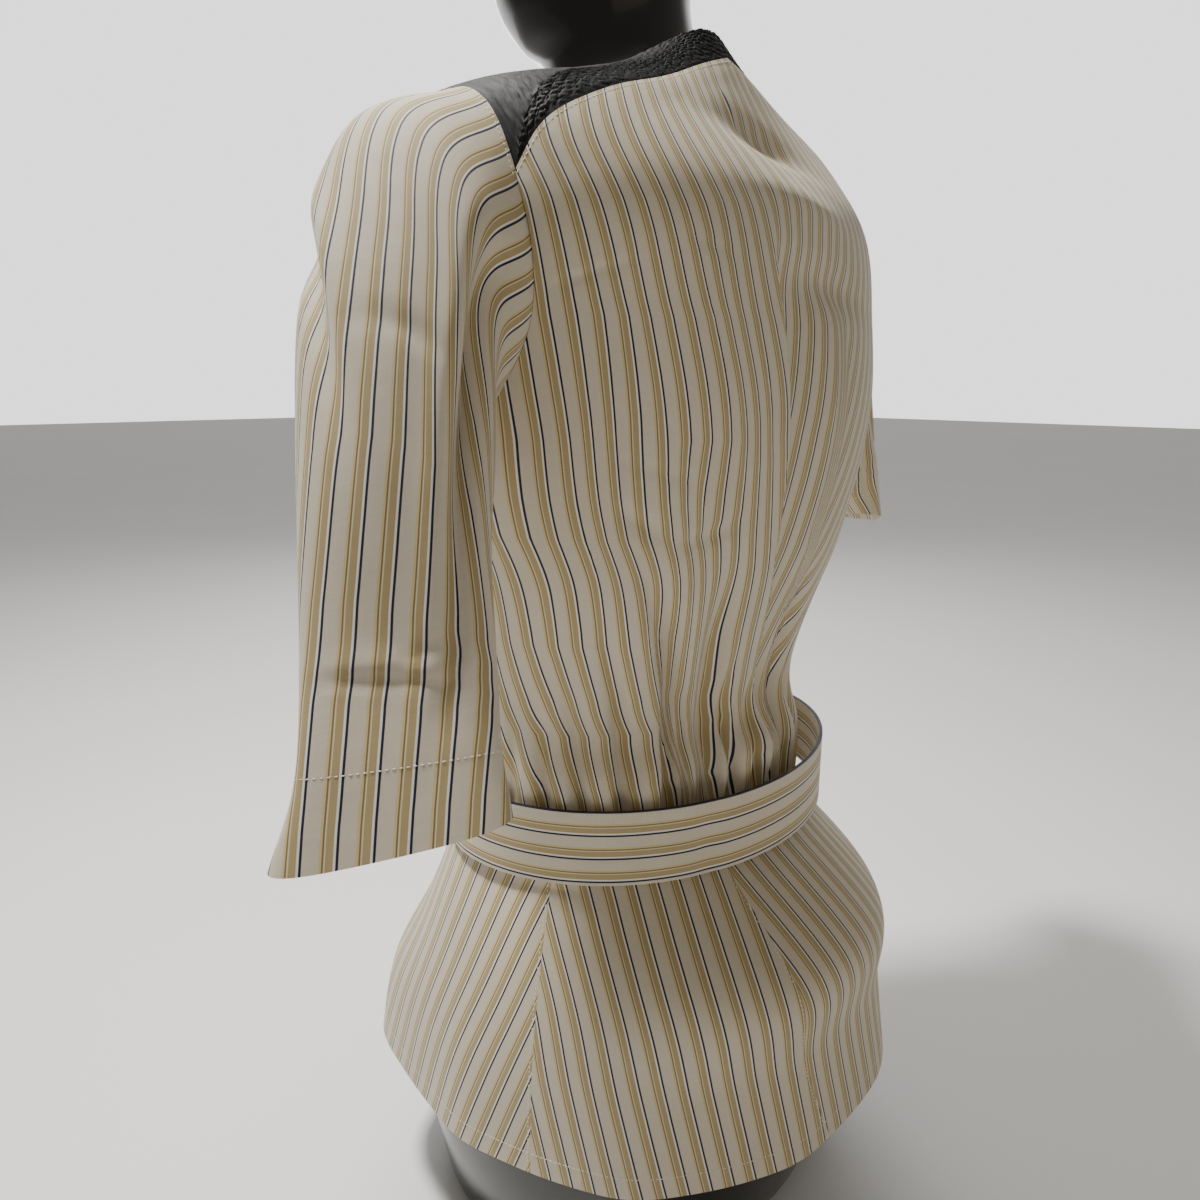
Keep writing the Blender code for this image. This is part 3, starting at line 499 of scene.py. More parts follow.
def stitch_mesh(name, lines):
    """Topstitching: one stitch is modelled, then repeated along each line of points and normals."""
    pitch = settings().stitch
    bpy.ops.object.select_all(action="DESELECT")
    bpy.ops.mesh.primitive_ico_sphere_add(subdivisions=1, radius=1.0)
    piece = bpy.context.object
    one = np.array([v.co[:] for v in piece.data.vertices])
    faces = np.array([f.vertices[:] for f in piece.data.polygons])
    verts, polys = [], []
    for places, normals in lines:
        run = np.concatenate([[0.0], np.cumsum(np.linalg.norm(np.diff(places, axis=0), axis=1))])
        for step in range(int(run[-1] / pitch)):
            start = (step + 0.5 - STITCH_SHARE / 2) * pitch
            end = (step + 0.5 + STITCH_SHARE / 2) * pitch
            a = read_line(places, run, start)
            b = read_line(places, run, end)
            up = read_line(normals, run, start)
            along = b - a
            length = np.linalg.norm(along)
            along = along / length
            across = np.cross(up, along)
            across /= np.linalg.norm(across)
            up = np.cross(along, across)
            scaled = one * (length / 2, THREAD_WIDE, THREAD_HIGH)
            polys.append(faces + len(verts) * len(one))
            verts.append((a + b) / 2 + scaled @ np.array([along, across, up]))
    mesh = bpy.data.meshes.new(name)
    mesh.from_pydata(np.concatenate(verts).tolist(), [], np.concatenate(polys).tolist())
    old = piece.data
    piece.data = mesh
    piece.name = name
    bpy.data.meshes.remove(old)
    mesh.shade_smooth()
    return placed(piece, "sewing_thread")


# ---------------------------------------------------------------- cloth pieces


def bodice_grid(across, up):
    """Shares across and up a panel, for a grid of so many faces."""
    columns = np.linspace(0, 1, across + 1)[:, None]
    rows = np.linspace(0, 1, up + 1)[None, :]
    return np.broadcast_arrays(columns, rows)


def lapped(up):
    """A panel's curved top edge lies a little proud, because it laps over the yoke."""
    return -0.0005 * ease((up - 0.93) / 0.06)


def back_grid():
    columns, up = bodice_grid(*BACK_GRID)
    left = columns <= 0.5
    across = np.where(left, columns * 2, 2 - columns * 2)
    angle, station = panel_place(across, up)
    angle = np.where(left, angle, 180 - angle)
    points = torso_point(angle, station)
    normals = grid_normals(points, False)
    inset = back_inset(angle, station) + lapped(up)
    points = points - normals * inset[..., None]
    return points, stack(back_stripe(angle, station), run_along(points, 1))


def front_grid(side):
    columns, up = bodice_grid(*FRONT_GRID)
    angle, station = panel_place(1 - columns, up)
    angle = -angle
    arc = arc_from(-90.0, angle, station)
    if side < 0:
        angle = 180 - angle
    points = torso_point(angle, station)
    if side < 0:
        points, arc = points[::-1], -arc[::-1] - 0.25 * REPEAT
        up = up[::-1]
    points = points - grid_normals(points, False) * lapped(up)[..., None]
    return points, stack(arc + 0.30 * REPEAT, run_along(points, 1))


def yoke_edges():
    """Angle, station and facing neck angle all along the yoke's outer edge, from front to front."""
    spread = 90 - NOTCH_NECK_ANGLE
    reach = np.linspace(1, 0, 41)[:-1]
    angle, station = seam_at(reach)
    front = (-angle, station, -NOTCH_NECK_ANGLE - spread * reach)
    share = np.linspace(0, 1, 25)[:-1]
    angle, station = armhole_at(NOTCH_TURN * (2 * share - 1))
    head = (angle, station, NOTCH_NECK_ANGLE * (2 * share - 1))
    reach = np.linspace(0, 1, 61)
    angle, station = seam_at(reach)
    back = (angle, station, NOTCH_NECK_ANGLE + spread * reach)
    left = [np.concatenate(parts) for parts in zip(front, head, back)]
    right = [180 - left[0][-2::-1], left[1][-2::-1], 180 - left[2][-2::-1]]
    return [np.concatenate(parts) for parts in zip(left, right)]


def finer(values, times):
    """The same line with more points on it."""
    steps = np.linspace(0, len(values) - 1, (len(values) - 1) * times + 1)
    return np.interp(steps, np.arange(len(values)), values)


def yoke_grid(deep):
    angle, station, neck = (finer(values, 2)[:, None] for values in yoke_edges())
    up = np.linspace(-YOKE_TUCK, 1, YOKE_ROWS)[None, :]
    turned = angle + (neck - angle) * up * np.abs(up)
    top = len(TORSO) - 1.0
    station = station + (top - station) * up
    points = torso_point(turned, station)
    normals = grid_normals(points, False)
    run, rise = run_along(points, 0), run_along(points, 1)
    facing = np.broadcast_to(neck, turned.shape)
    rows = range(points.shape[1])
    back, front = np.interp(90, neck[:, 0], np.arange(len(neck))), 0
    to_back = run - np.array([np.interp(back, np.arange(len(neck)), run[:, j]) for j in rows])
    to_front = np.where(facing > 180, run - run[-1:], run)
    across = np.where((facing > 0) & (facing < 180), to_back, to_front)
    weave = deep * relief(across, rise[:, -1:] - rise) * ease(up / 0.06)
    depth = 0.0009 * (1 - ease((up + 0.01) / 0.10)) - weave
    points = points - normals * depth[..., None]
    return points, stack(across, rise)


def mirrored(values, side):
    """A place on the left, or its like on the right."""
    return np.asarray(values, float) * (side, 1, 1)


def sleeve_hollows(turn, along):
    depth = np.zeros(np.broadcast(turn, along).shape)
    for spot in read_rows(SLEEVE_HOLLOWS, SLEEVE_HOLLOW_COLUMNS):
        off = (turn - spot["turn"] + 180) % 360 - 180
        depth += hollow(spot, off * SLEEVE_MM_A_DEGREE, (spot["along"] - along) * SLEEVE_MM_LONG)
    return depth * ease(along / 0.12)


def sleeve_points(turn, along, side):
    """The sleeve's grid: columns by turn from the top, rows from the hem up to the armhole."""
    angle, station = armhole_at(turn)
    ring = torso_point(angle if side > 0 else 180 - angle, station)
    middle = ring[:-1].mean(axis=0)
    inwards = middle - ring
    inwards /= np.linalg.norm(inwards, axis=1, keepdims=True)
    ring = ring + ARMHOLE_SEAM * (np.array([side, 0, 0]) + inwards)
    cosine, sine = np.cos(np.radians(turn))[:, None], np.sin(np.radians(turn))[:, None]
    sections = [ring]
    for row in SLEEVE.values():
        outer, back, under, front = (mirrored(place, side) for place in row)
        middle = (outer + under) / 2 * cosine ** 2 + (back + front) / 2 * sine ** 2
        sections.append(middle + (outer - under) / 2 * cosine + (back - front) / 2 * sine)
    count = len(SLEEVE)
    swing = np.array(RIGHT_SWING) if side < 0 else np.zeros(3)
    sections = np.array([p + swing * (k / count) ** SWING_POWER for k, p in enumerate(sections)])
    return smooth_between(sections, along * count).transpose(1, 0, 2)


SLEEVE_GRAIN = {"along": (0.0, 0.19, 0.29, 0.39, 0.50, 0.63, 0.73, 0.92, 1.0),
                "turn": (23.0, 18.5, 14.9, 9.9, 2.7, -11.0, -17.3, -21.7, -22.5)}


def sleeve_grid(side):
    turn = np.linspace(-180, 180, SLEEVE_GRID[0] + 1)
    along = np.linspace(1, 0, SLEEVE_GRID[1] + 1)
    points = sleeve_points(turn, along, side)
    if side < 0:
        points, turn = points[::-1], turn[::-1]
    normals = grid_normals(points, True)
    depth = sleeve_hollows(turn[:, None], along[None, :])
    points = points - normals * depth[..., None]
    points[-1] = points[0]
    run = run_along(points, 0)
    grain = np.interp(along, SLEEVE_GRAIN["along"], SLEEVE_GRAIN["turn"])
    order = np.argsort(turn)
    start = np.array([np.interp(g, turn[order], run[order, j]) for j, g in enumerate(grain)])
    shift = 0.0 if side > 0 else 0.3 * REPEAT
    return points, stack(run - start + shift, run_along(points, 1)), along


def peplum_points(angle, down):
    read = smooth_between(np.array(list(PEPLUM.values())), down * (len(PEPLUM) - 1))
    radius = section_radius(angle, read[..., 0], read[..., 1], read[..., 2], 2.1)
    flare = ease((down - 0.25) / 0.75)
    for crest, out, half in FLUTES:
        radius = radius + flare * out * bell(angle - crest, half)
    turned = np.radians(angle)
    return stack(read[..., 4] + radius * np.cos(turned), radius * np.sin(turned), read[..., 3])


def panel_grid(name):
    row = dict(zip(PANEL_COLUMNS, PANELS[name]))
    columns = max(30, int((row["hem_to"] - row["hem_from"]) / 1.3))
    share = np.linspace(0, 1, columns + 1)[:, None]
    down = np.linspace(1, 0, PEPLUM_ROWS)[None, :]
    at_waist = row["waist_from"] + (row["waist_to"] - row["waist_from"]) * share
    at_hem = row["hem_from"] + (row["hem_to"] - row["hem_from"]) * share
    bend = row["bend_from"] + (row["bend_to"] - row["bend_from"]) * share
    angle = at_waist + (at_hem - at_waist) * down + bend * 4 * down * (1 - down)
    angle, down = np.broadcast_arrays(angle, down)
    points = peplum_points(angle, down)
    run, rise = run_along(points, 0), run_along(points, 1)
    length = rise[:, -1:] - rise
    reference = row["ref_waist"] + (row["ref_hem"] - row["ref_waist"]) * down[0]
    start = np.array([np.interp(r, angle[:, j], run[:, j]) for j, r in enumerate(reference)])
    across = run - start - row["lean"] * length
    j = np.abs(down[0] - row["navy_down"]).argmin()
    navy = np.interp(row["navy_angle"], angle[:, j], across[:, j])
    return points, stack((across - navy) * REPEAT / PEPLUM_REPEAT, rise)


def belt_grid():
    turned = np.linspace(0, 360 + BELT_LAP, BELT_GRID[0])[:, None]
    high = np.linspace(0, 1, BELT_GRID[1])[None, :]
    angle = -90 - BELT_LAP / 2 + turned
    lap = (DOUBLE + 0.0005) * ease((turned - 360 + BELT_LAP) / BELT_LAP)
    radius = section_radius(angle, BELT_SIDE, BELT_BACK, BELT_FRONT, 2.0) + lap + 0.0 * high
    radius = radius - 0.0012 * bell(angle - 64, 4.0) * bell(high - 0.4, 0.5)
    turn = np.radians(angle)
    z = BELT_Z + BELT_HIGH * (high - 0.5)
    points = stack(BELT_SHIFT + radius * np.cos(turn), radius * np.sin(turn), z)
    return points, stack(BELT_HIGH * (1 - high) + 0.0005, run_along(points, 0))


FORM_COLUMNS = ("z", "side", "back", "front", "twist")
FORM = (
    (0.000, 0.132, 0.118, 0.100, 0.0), (0.006, 0.138, 0.124, 0.105, 0.0), (0.060, 0.148, 0.136, 0.112, 0.0),
    (0.120, 0.147, 0.136, 0.112, 0.0), (0.180, 0.132, 0.118, 0.100, 0.0), (0.235, 0.112, 0.090, 0.080, 0.0),
    (0.290, 0.101, 0.078, 0.072, 0.0), (0.340, 0.100, 0.074, 0.075, 0.0), (0.400, 0.110, 0.084, 0.088, 1.0),
    (0.460, 0.124, 0.098, 0.102, 3.0), (0.520, 0.134, 0.104, 0.102, 5.0), (0.570, 0.138, 0.098, 0.092, 6.0),
    (0.605, 0.137, 0.088, 0.080, 7.0),
)
FORM_SHOULDERS = ((7.0, 0.012), (7.5, 0.006), (8.0, 0.0015), (8.5, 0.0), (9.0, 0.0))
FORM_INSET = 0.0028
NECK_COLUMNS = ("z", "lean", "left", "side", "deep")
NECK = (
    (0.690, 0.008, 0.003, 0.0500, 0.0440), (0.705, 0.020, 0.007, 0.0525, 0.0490),
    (0.722, 0.028, 0.010, 0.0550, 0.0540), (0.740, 0.031, 0.011, 0.0560, 0.0560),
    (0.754, 0.032, 0.011, 0.0500, 0.0500), (0.763, 0.032, 0.011, 0.0360, 0.0360),
    (0.767, 0.032, 0.011, 0.0150, 0.0150),
)


def form_rings(angle):
    """The dress form's rings from its base to the end of its neck."""
    rings = []
    for z, side, back, front, twist in FORM:
        radius = section_radius(angle, side, back, front, 2.2)
        turn = np.radians(angle + twist)
        rings.append(stack(radius * np.cos(turn), radius * np.sin(turn), z))
    for station, narrower in FORM_SHOULDERS:
        place = torso_point(angle, np.full_like(angle, station))
        level = place * (1, 1, 0)
        level /= np.linalg.norm(level, axis=1, keepdims=True)
        rings.append(place - level * (FORM_INSET + narrower) - (0, 0, FORM_INSET))
    for z, lean, left, side, deep in NECK:
        turn = np.radians(angle)
        rings.append(stack(left + side * np.cos(turn), deep * np.sin(turn) - lean, z))
    return np.array(rings)


def form_points():
    """The smooth form as a grid: columns round it, rows upwards."""
    angle = np.linspace(0, 360, 129)
    rings = form_rings(angle)
    steps = np.concatenate([[0, 0.25, 0.5, 0.75], np.arange(1, len(rings) - 1, 0.25), [len(rings) - 1]])
    return smooth_between(rings, steps).transpose(1, 0, 2)


BRICK_HIGH, BRICK_LONG, BRICK_GROOVE = 0.0034, 0.0052, 0.00055


def relief(u, v):
    """Height of the yoke's blistered weave: rows of short bricks that step and waver, from -1 to 0."""
    u = u + 0.0006 * np.sin(v * 900) + 0.0009 * np.sin(v * 260 + u * 120)
    v = v + 0.0005 * np.sin(u * 700) + 0.0008 * np.sin(u * 230)
    row = v / BRICK_HIGH
    brick = u / BRICK_LONG + 0.5 * np.floor(row) + 0.13 * np.sin(np.floor(row) * 5.1)
    down = np.abs(row - np.floor(row) - 0.5) * BRICK_HIGH * 2
    across = np.abs(brick - np.floor(brick) - 0.5) * BRICK_LONG * 2
    gap = np.minimum(BRICK_HIGH - down, BRICK_LONG - across) / 2
    return -bell(gap, BRICK_GROOVE)


# ---------------------------------------------------------------- materials


class Value:
    """A socket in a material's tree. Arithmetic on it adds Math nodes to the tree."""

    def __init__(self, paint, socket):
        self.paint = paint
        self.socket = socket

    def __add__(self, other):
        return self.paint.math("ADD", self, other)

    def __sub__(self, other):
        return self.paint.math("SUBTRACT", self, other)

    def __rsub__(self, other):
        return self.paint.math("SUBTRACT", other, self)

    def __mul__(self, other):
        return self.paint.math("MULTIPLY", self, other)

    def __truediv__(self, other):
        return self.paint.math("DIVIDE", self, other)

    __radd__ = __add__
    __rmul__ = __mul__


class Paint:
    """A material whose look is written as expressions on its nodes' values."""

    def __init__(self, name, owner=None):
        self.material = owner or bpy.data.materials.new(name)
        self.material.use_nodes = True
        self.tree = self.material.node_tree
        self.tree.nodes.clear()

    def node(self, kind, settings=None, inputs=None, output=0):
        """Adds a node, sets its settings, fills its inputs and returns one of its outputs."""
        made = self.tree.nodes.new("ShaderNode" + kind)
        for key, value in (settings or {}).items():
            if key == "stops":
                for place, colour in value[len(made.color_ramp.elements):]:
                    made.color_ramp.elements.new(place)
                for element, (place, colour) in zip(made.color_ramp.elements, value):
                    element.position = place
                    element.color = colour
            else:
                setattr(made, key, value)
        for key, value in (inputs or {}).items():
            if isinstance(value, Value):
                self.tree.links.new(value.socket, made.inputs[key])
            else:
                made.inputs[key].default_value = value
        return Value(self, made.outputs[output])

    def math(self, operation, *values):
        return self.node("Math", {"operation": operation}, dict(enumerate(values)))

    def vector(self, operation, *values, output=0):
        return self.node("VectorMath", {"operation": operation}, dict(enumerate(values)), output)

    def mix(self, factor, first, second, blend="MIX"):
        """A colour between two colours."""
        settings = {"data_type": "RGBA", "blend_type": blend}
        return self.node("Mix", settings, {0: factor, 6: first, 7: second}, 2)

    def shaded(self, colour, tone):
        """A colour made darker or lighter by a tone."""
        grey = self.node("CombineColor", {}, {0: tone, 1: tone, 2: tone})
        return self.mix(1.0, colour, grey, "MULTIPLY")

    def noise(self, place, scale, detail=2.0, roughness=0.5):
        inputs = {"Vector": place, "Scale": scale, "Detail": detail, "Roughness": roughness}
        return self.node("TexNoise", {"noise_dimensions": "3D"}, inputs)

    def bump(self, height, distance, strength=1.0):
        return self.node("Bump", {}, {"Strength": strength, "Distance": distance, "Height": height})

    def finish(self, inputs):
        self.end(self.node("BsdfPrincipled", {}, inputs), "ShaderNodeOutputMaterial")

    def end(self, shader, kind):
        """Joins a shader to the tree's output."""
        output = self.tree.nodes.new(kind)
        self.tree.links.new(shader.socket, output.inputs["Surface"])


def linear(colour):
    """A picture's colour, 0 to 255, as the shader's linear one."""
    parts = [c / 255 for c in colour]
    return tuple(p / 12.92 if p <= 0.04045 else ((p + 0.055) / 1.055) ** 2.4 for p in parts) + (1.0,)


# One repeat of the stripes: where each band starts, and its colour
GROUND, CREAM, WHITE = (214, 204, 184), (220, 208, 174), (238, 234, 224)
NAVY, OLIVE, GREIGE, YELLOW = (20, 22, 54), (140, 117, 66), (180, 160, 116), (214, 195, 146)
BANDS = ((0.000, NAVY), (0.064, GROUND), (0.520, YELLOW), (0.600, OLIVE), (0.655, CREAM), (0.700, GREIGE),
         (0.915, WHITE), (0.985, NAVY))
BAND_EDGE = 0.010       # share of a repeat over which one band turns into the next
WARP, WEFT = 0.00036, 0.00042
TWILL_MIDDLE, TWILL_HALF, TWILL_LINE = 0.815, 0.10, 0.0011


def band_stops():
    """A ramp's stops for the bands, with soft edges; the yellow one's is softer."""
    coloured = [(start, linear(colour)) for start, colour in BANDS]
    stops = [(0.0, coloured[0][1])]
    for (start, colour), (_, before) in zip(coloured[1:], coloured):
        soft = BAND_EDGE * (5.0 if start == 0.520 else 1.0)
        stops += [(start - soft / 2, before), (start + soft / 2, colour)]
    return stops


def shirting():
    """Woven shirting: stripes along the cloth, slubs across them, a twill stripe and a fine weave."""
    paint = Paint("woven_stripes")
    cloth = paint.node("UVMap", {"uv_map": "cloth"})
    parts = paint.tree.nodes.new("ShaderNodeSeparateXYZ")
    paint.tree.links.new(cloth.socket, parts.inputs[0])
    across, along = Value(paint, parts.outputs[0]), Value(paint, parts.outputs[1])
    place = paint.node("TexCoord", {}, {}, "Object")
    waver = (paint.noise(place, 60.0, 1.0) - 0.5) * 0.00022
    share = paint.math("FRACT", (across + waver) / REPEAT)
    colour = paint.node("ValToRGB", {"stops": band_stops()}, {"Fac": share})
    long_way = paint.node("CombineXYZ", {}, {"X": across * 55.0, "Y": along * 1500.0})
    every_way = paint.node("CombineXYZ", {}, {"X": across * 1100.0, "Y": along * 1100.0})
    slub = paint.noise(long_way, 1.0, 2.0)
    fleck = paint.noise(every_way, 1.0, 3.0)
    cloud = paint.noise(place, 9.0, 3.0)
    weft = paint.math("SINE", along * (2 * math.pi / WEFT))
    thread = weft * paint.math("SINE", across * (2 * math.pi / WARP))
    tone = 1.0 + (slub - 0.5) * 0.14 + (fleck - 0.5) * 0.10 + (cloud - 0.5) * 0.07 + thread * 0.018
    colour = paint.shaded(colour, tone)
    twill = paint.math("COMPARE", share, TWILL_MIDDLE, TWILL_HALF)
    twill_line = paint.math("SINE", (along * 1.6 + across) * (2 * math.pi / TWILL_LINE)) * twill
    height = slub * 0.5 + fleck * 0.35 + thread * 0.3 + twill_line * 0.22
    crumple = paint.noise(place, 70.0, 2.0, 0.55)
    fine = paint.bump(height, 0.00022, 0.55)
    crumpled = {"Strength": 0.35, "Distance": 0.0012, "Height": crumple, "Normal": fine}
    normal = paint.node("Bump", {}, crumpled)
    rough = 0.60 + (fleck - 0.5) * 0.16
    paint.finish({"Base Color": colour, "Roughness": rough, "Normal": normal, "Sheen Weight": 0.18,
                         "Sheen Roughness": 0.45, "Specular IOR Level": 0.32})


def relief_cloth():
    """Black blistered cloth: raised dull bricks with darker, slightly shiny valleys."""
    paint = Paint("blistered_black")
    cloth = paint.node("UVMap", {"uv_map": "cloth"})
    place = paint.node("TexCoord", {}, {}, "Object")
    fine = paint.noise(cloth, 1500.0, 3.0, 0.6)
    medium = paint.noise(cloth, 420.0, 2.0, 0.5)
    cloud = paint.noise(place, 14.0, 2.0)
    tone = 0.50 + fine * 0.55 + medium * 0.35 + cloud * 0.20
    colour = paint.shaded(linear((14, 15, 18)), tone)
    normal = paint.bump(fine * 0.5 + medium * 0.5, 0.0003, 0.6)
    paint.finish({"Base Color": colour, "Roughness": 0.52 + fine * 0.25, "Normal": normal,
                         "Sheen Weight": 0.03, "Sheen Roughness": 0.4, "Specular IOR Level": 0.26})


def gloss_black():
    paint = Paint("form_gloss")
    place = paint.node("TexCoord", {}, {}, "Object")
    smear = paint.noise(place, 22.0, 3.0)
    wave = paint.noise(place, 6.0, 1.0)
    paint.finish({"Base Color": linear((17, 15, 14)), "Roughness": 0.14 + smear * 0.10,
                         "Normal": paint.bump(wave, 0.0015, 0.15), "Coat Weight": 0.25,
                         "Coat Roughness": 0.08})


def thread_material():
    paint = Paint("sewing_thread")
    place = paint.node("TexCoord", {}, {}, "Object")
    fine = paint.noise(place, 2500.0, 2.0)
    colour = paint.mix(fine, linear((214, 205, 186)), linear((240, 236, 226)))
    paint.finish({"Base Color": colour, "Roughness": 0.55, "Normal": paint.bump(fine, 0.0001, 0.5)})


def floor_material():
    paint = Paint("pale_floor")
    place = paint.node("TexCoord", {}, {}, "Object")
    cloud = paint.noise(place, 1.5, 2.0)
    colour = paint.mix(cloud, linear((240, 240, 240)), linear((246, 246, 246)))
    paint.finish({"Base Color": colour, "Roughness": 0.75})


# ---------------------------------------------------------------- operators


def placed(piece, material, *nodes, slot="striped_shirting"):
    """Gives a finished piece its material and its place in the frame."""
    piece.data.materials.clear()
    piece.data.materials.append(bpy.data.materials[material])
    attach(piece, "root")
    if nodes:
        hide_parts(*nodes)
    return piece


def flat_size(points):
    """Width, length and area of a grid of cloth laid flat, along its longest lines."""
    width = run_along(points, 0)[-1].max()
    length = run_along(points, 1)[:, -1].max()
    a, b = points[1:, 1:] - points[:-1, :-1], points[1:, :-1] - points[:-1, 1:]
    return width, length, np.linalg.norm(np.cross(a, b), axis=-1).sum() / 2


def declare(piece, points, held, rests_on, *stitches, flat=None):
    """Works out a piece's width, length and area as a sheet cut from a rectangle of its own size unless
    that is given, and keeps none of them.
    """
    width, length, area = flat_size(points)
    if flat:
        width, length = flat
    area = min(area, width * length)


def sew(piece, points, nodes, held, rests_on, stitching, lines):
    placed(piece, "woven_stripes", *nodes)
    declare(piece, points, held, rests_on, stitch_mesh(stitching, lines))


class JacketSettings(bpy.types.PropertyGroup):
    cloth: bpy.props.FloatProperty(name="Cloth", description="Thickness of one layer of shirting",
                                   default=CLOTH, unit="LENGTH")
    doubled: bpy.props.FloatProperty(name="Doubled cloth", default=DOUBLE, unit="LENGTH",
                                     description="Thickness of a turned hem or the belt")
    relief: bpy.props.FloatProperty(name="Yoke relief", description="Depth of the yoke's blistered weave",
                                    default=0.00065, unit="LENGTH")
    stitch: bpy.props.FloatProperty(name="Stitch", description="Length of one stitch with its gap",
                                    default=0.0027, unit="LENGTH")
    background: bpy.props.FloatVectorProperty(name="Background", default=(0.88, 0.88, 0.88), size=3,
                                              description="Colour of the background", subtype="COLOR")
    key_power: bpy.props.FloatProperty(name="Key light", description="Power of the key light",
                                       default=36.0, unit="POWER")


def settings():
    return bpy.context.scene.jacket_settings


class MakeMaterials(bpy.types.Operator):
    """Make the cloth, thread, form and floor materials"""
    bl_idname = "jacket.materials"
    bl_label = "Materials"

    def execute(self, context):
        shirting()
        relief_cloth()
        gloss_black()
        thread_material()
        floor_material()
        return {"FINISHED"}


class MakeForm(bpy.types.Operator):
    """Make the limbless dress form"""
    bl_idname = "jacket.form"
    bl_label = "Dress form"

    def execute(self, context):
        piece = closed_solid("dress_form_body", form_points())
        placed(piece, "form_gloss", "dress_form", slot="black_gloss")
        return {"FINISHED"}


class MakeYoke(bpy.types.Operator):
    """Make the relief-woven yoke"""
    bl_idname = "jacket.yoke"
    bl_label = "Yoke"

    def execute(self, context):
        points, cloth = yoke_grid(settings().relief)
        piece = sheet_mesh("yoke_cloth", points, cloth, settings().cloth)
        placed(piece, "blistered_black", "yoke", slot="black_relief_weave")
        declare(piece, points, "laid", ["dress_form_body"], flat=YOKE_CUT)
        return {"FINISHED"}


class MakeBodice(bpy.types.Operator):
    """Make the gathered back panel, the two fronts and their stitching"""
    bl_idname = "jacket.bodice"
    bl_label = "Back and fronts"

    def execute(self, context):
        points, cloth = back_grid()
        back = sheet_mesh("back_panel", points, cloth, settings().cloth)
        lines = [border_line(points, "top", EDGE_STITCH)]
        sew(back, points, ["bodice_back"], "gathered", ["dress_form_body"], "back_panel_stitching", lines)
        for side, name in ((1, "left"), (-1, "right")):
            points, cloth = front_grid(side)
            front = sheet_mesh("front_" + name, points, cloth, settings().cloth)
            lines = [border_line(points, "top", EDGE_STITCH)]
            sew(front, points, ["bodice_front_" + name], "hung", ["dress_form_body"],
                "front_stitching_" + name, lines)
        return {"FINISHED"}


class MakeSleeves(bpy.types.Operator):
    """Make both short sleeves, each with its turned hem and stitching"""
    bl_idname = "jacket.sleeves"
    bl_label = "Sleeves"

    def execute(self, context):
        for side, name in ((1, "left"), (-1, "right")):
            points, cloth, along = sleeve_grid(side)
            wall = settings().doubled
            single = along < SLEEVE_STITCH
            sleeve = sheet_mesh("sleeve_cloth_" + name, points, cloth, wall, True, single)
            nodes = [part + name for part in ("sleeve_", "sleeve_lower_", "sleeve_hem_")]
            hem = int(np.abs(along - SLEEVE_STITCH).argmin())
            normals = grid_normals(points, True)
            head = NOTCH_TURN * 1.05
            turn = np.linspace(-180, 180, points.shape[0])
            top = np.abs(turn) < head
            lines = [(points[:, hem], normals[:, hem]), border_line(points[top], "top", EDGE_STITCH)]
            sew(sleeve, points, nodes, "hung", ["back_panel", "yoke_cloth"],
                "sleeve_stitching_" + name, lines)
        return {"FINISHED"}


class MakeBelt(bpy.types.Operator):
    """Make the belt with its lapped ends"""
    bl_idname = "jacket.belt"
    bl_label = "Belt"

    def execute(self, context):
        points, cloth = belt_grid()
        belt = sheet_mesh("belt_band", points, cloth, settings().doubled)
        lines = [border_line(points, "top", NARROW_STITCH)]
        sew(belt, points, ["belt"], "hung", ["peplum_panel_back_left"], "belt_stitching", lines)
        return {"FINISHED"}


class MakePeplum(bpy.types.Operator):
    """Make the peplum's four flared panels and their hem stitching"""
    bl_idname = "jacket.peplum"
    bl_label = "Peplum"

    def execute(self, context):
        for node in PANELS:
            points, cloth = panel_grid(node)
            name = node.replace("peplum_", "peplum_panel_")
            panel = sheet_mesh(name, points, cloth, settings().cloth)
            lines = [border_line(points, "bottom", HEM_STITCH), border_line(points, "right", NARROW_STITCH)]
            sew(panel, points, [node], "hung", ["back_panel"], name + "_stitching", lines)
        return {"FINISHED"}


CAMERA_PLACE = (0.413, 0.398, 0.521)
CAMERA_YAW = 136.25
CAMERA_PITCH = 13.5
CAMERA_ROLL = 0.2
CAMERA_LENS = 27.45
SIDE_AIR = (0.200, 0.188, 0.168, 1.0)    # the air beside and behind the camera
LIT_PLACE = Vector((0.02, 0.0, 0.40))
BACK_LIGHT_PLACE = (-1.1, -1.3, 1.5)
# Lights by their place from the camera: to its right, above and ahead; then size, power and colour
LIGHTS = {
    "key_light": (-0.50, 1.30, 0.34, 0.20, 1.0, (1.0, 0.98, 0.94)),
    "fill_light": (0.90, 0.20, -0.50, 1.2, 0.03, (1.0, 0.86, 0.64)),
}


def camera_axes():
    """The camera's right, up and view directions."""
    yaw, pitch, roll = (math.radians(a) for a in (CAMERA_YAW, CAMERA_PITCH, CAMERA_ROLL))
    view = Vector((-math.sin(yaw) * math.cos(pitch), math.cos(yaw) * math.cos(pitch), -math.sin(pitch)))
    right = Vector((math.cos(yaw), math.sin(yaw), 0))
    up = right.cross(view)
    turned = right * math.cos(roll) + up * math.sin(roll)
    return turned, up * math.cos(roll) - right * math.sin(roll), view


def area_light(name, place, size, power, colour):
    """An area light that faces the jacket."""
    bpy.ops.object.light_add(type="AREA", location=place)
    lamp = bpy.context.object
    lamp.name = name
    lamp.data.size = size
    lamp.data.energy = power
    lamp.data.color = colour
    lamp.rotation_euler = (LIT_PLACE - Vector(place)).to_track_quat("-Z", "Y").to_euler()


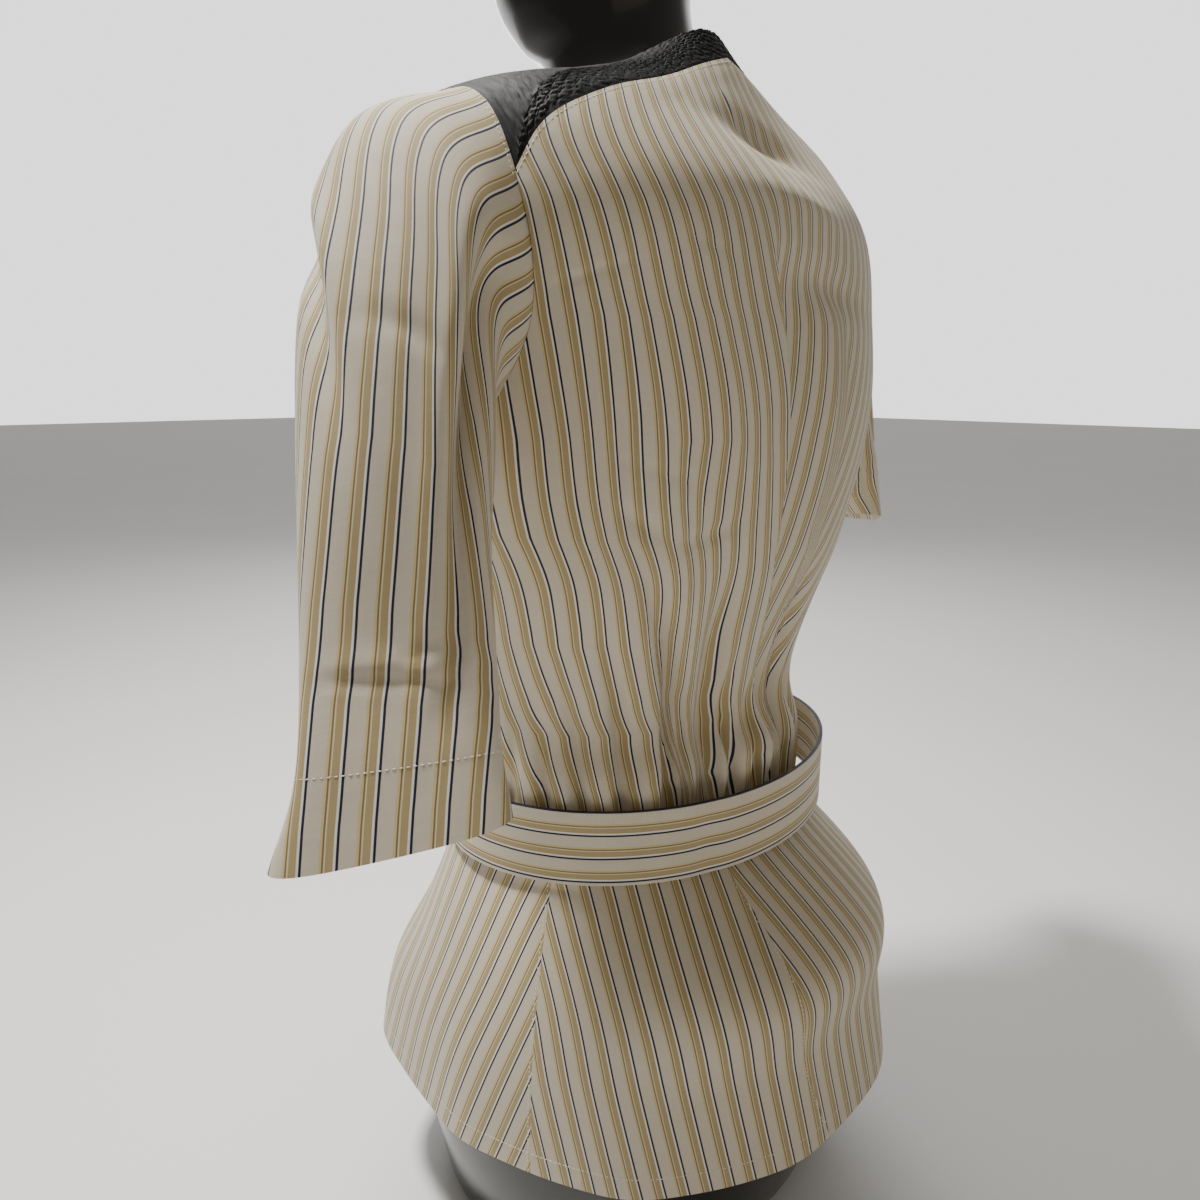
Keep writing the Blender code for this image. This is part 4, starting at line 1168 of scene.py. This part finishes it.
class MakeStudio(bpy.types.Operator):
    """Make the floor, the lights, the background and the camera"""
    bl_idname = "jacket.studio"
    bl_label = "Studio"

    def execute(self, context):
        bpy.ops.mesh.primitive_plane_add(size=24.0, location=(0, 0, -0.0005))
        floor = context.object
        floor.name = "studio_floor"
        floor.data.materials.append(bpy.data.materials["pale_floor"])
        floor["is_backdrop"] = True
        right, up, view = camera_axes()
        bpy.ops.object.camera_add()
        camera = context.object
        camera.name = "photo_camera"
        axes = Matrix((right, up, -view)).transposed().to_4x4()
        camera.matrix_world = Matrix.Translation(CAMERA_PLACE) @ axes
        camera.data.lens = CAMERA_LENS
        camera.data.sensor_width = 36.0
        camera.data.clip_start = 0.01
        context.scene.camera = camera
        power = settings().key_power
        for name, (aside, above, ahead, size, share, colour) in LIGHTS.items():
            place = Vector(CAMERA_PLACE) + right * aside + up * above + view * ahead
            area_light(name, place, size, power * share, colour)
        area_light("back_light", BACK_LIGHT_PLACE, 1.2, power * 0.4, (1.0, 0.98, 0.95))
        world = bpy.data.worlds.new("studio_air")
        context.scene.world = world
        air = Paint("studio_air", world)
        toward = air.node("TexCoord", {}, {}, "Generated")
        ahead = air.vector("DOT_PRODUCT", toward, tuple(view), output="Value")
        bright = air.node("MapRange", {"interpolation_type": "SMOOTHSTEP"}, {0: ahead, 1: 0.35, 2: 0.75})
        pale = tuple(settings().background) + (1.0,)
        glow = air.mix(bright, SIDE_AIR, pale)
        sky = air.node("Background", {}, {"Color": glow, "Strength": 1.0 + bright * 1.1})
        air.end(sky, "ShaderNodeOutputWorld")
        return {"FINISHED"}


class JacketPanel(bpy.types.Panel):
    """Lists the steps that build the jacket"""
    bl_idname = "VIEW3D_PT_jacket"
    bl_label = "Striped jacket"
    bl_space_type = "VIEW_3D"
    bl_region_type = "UI"
    bl_category = "Jacket"

    def draw(self, context):
        for key in JacketSettings.__annotations__:
            self.layout.prop(context.scene.jacket_settings, key)
        for step in STEPS:
            self.layout.operator(step.bl_idname)


STEPS = (MakeMaterials, MakeForm, MakeYoke, MakeBodice, MakeSleeves, MakeBelt, MakePeplum, MakeStudio)
CLASSES = (JacketSettings, *STEPS, JacketPanel)


def register():
    for cls in CLASSES:
        bpy.utils.register_class(cls)
    bpy.types.Scene.jacket_settings = bpy.props.PointerProperty(type=JacketSettings)


def unregister():
    del bpy.types.Scene.jacket_settings
    for cls in reversed(CLASSES):
        bpy.utils.unregister_class(cls)


def main():
    register()
    bpy.ops.object.select_all(action="DESELECT")
    bpy.ops.jacket.materials()
    bpy.ops.jacket.form()
    bpy.ops.jacket.yoke()
    bpy.ops.jacket.bodice()
    bpy.ops.jacket.sleeves()
    bpy.ops.jacket.belt()
    bpy.ops.jacket.peplum()
    bpy.ops.jacket.studio()
    boxes = {"cad": CAD_BOX, "visual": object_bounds()}
    sizes = {key: [list(corner) for corner in box] for key, box in boxes.items()}


if __name__ == "__main__":
    main()
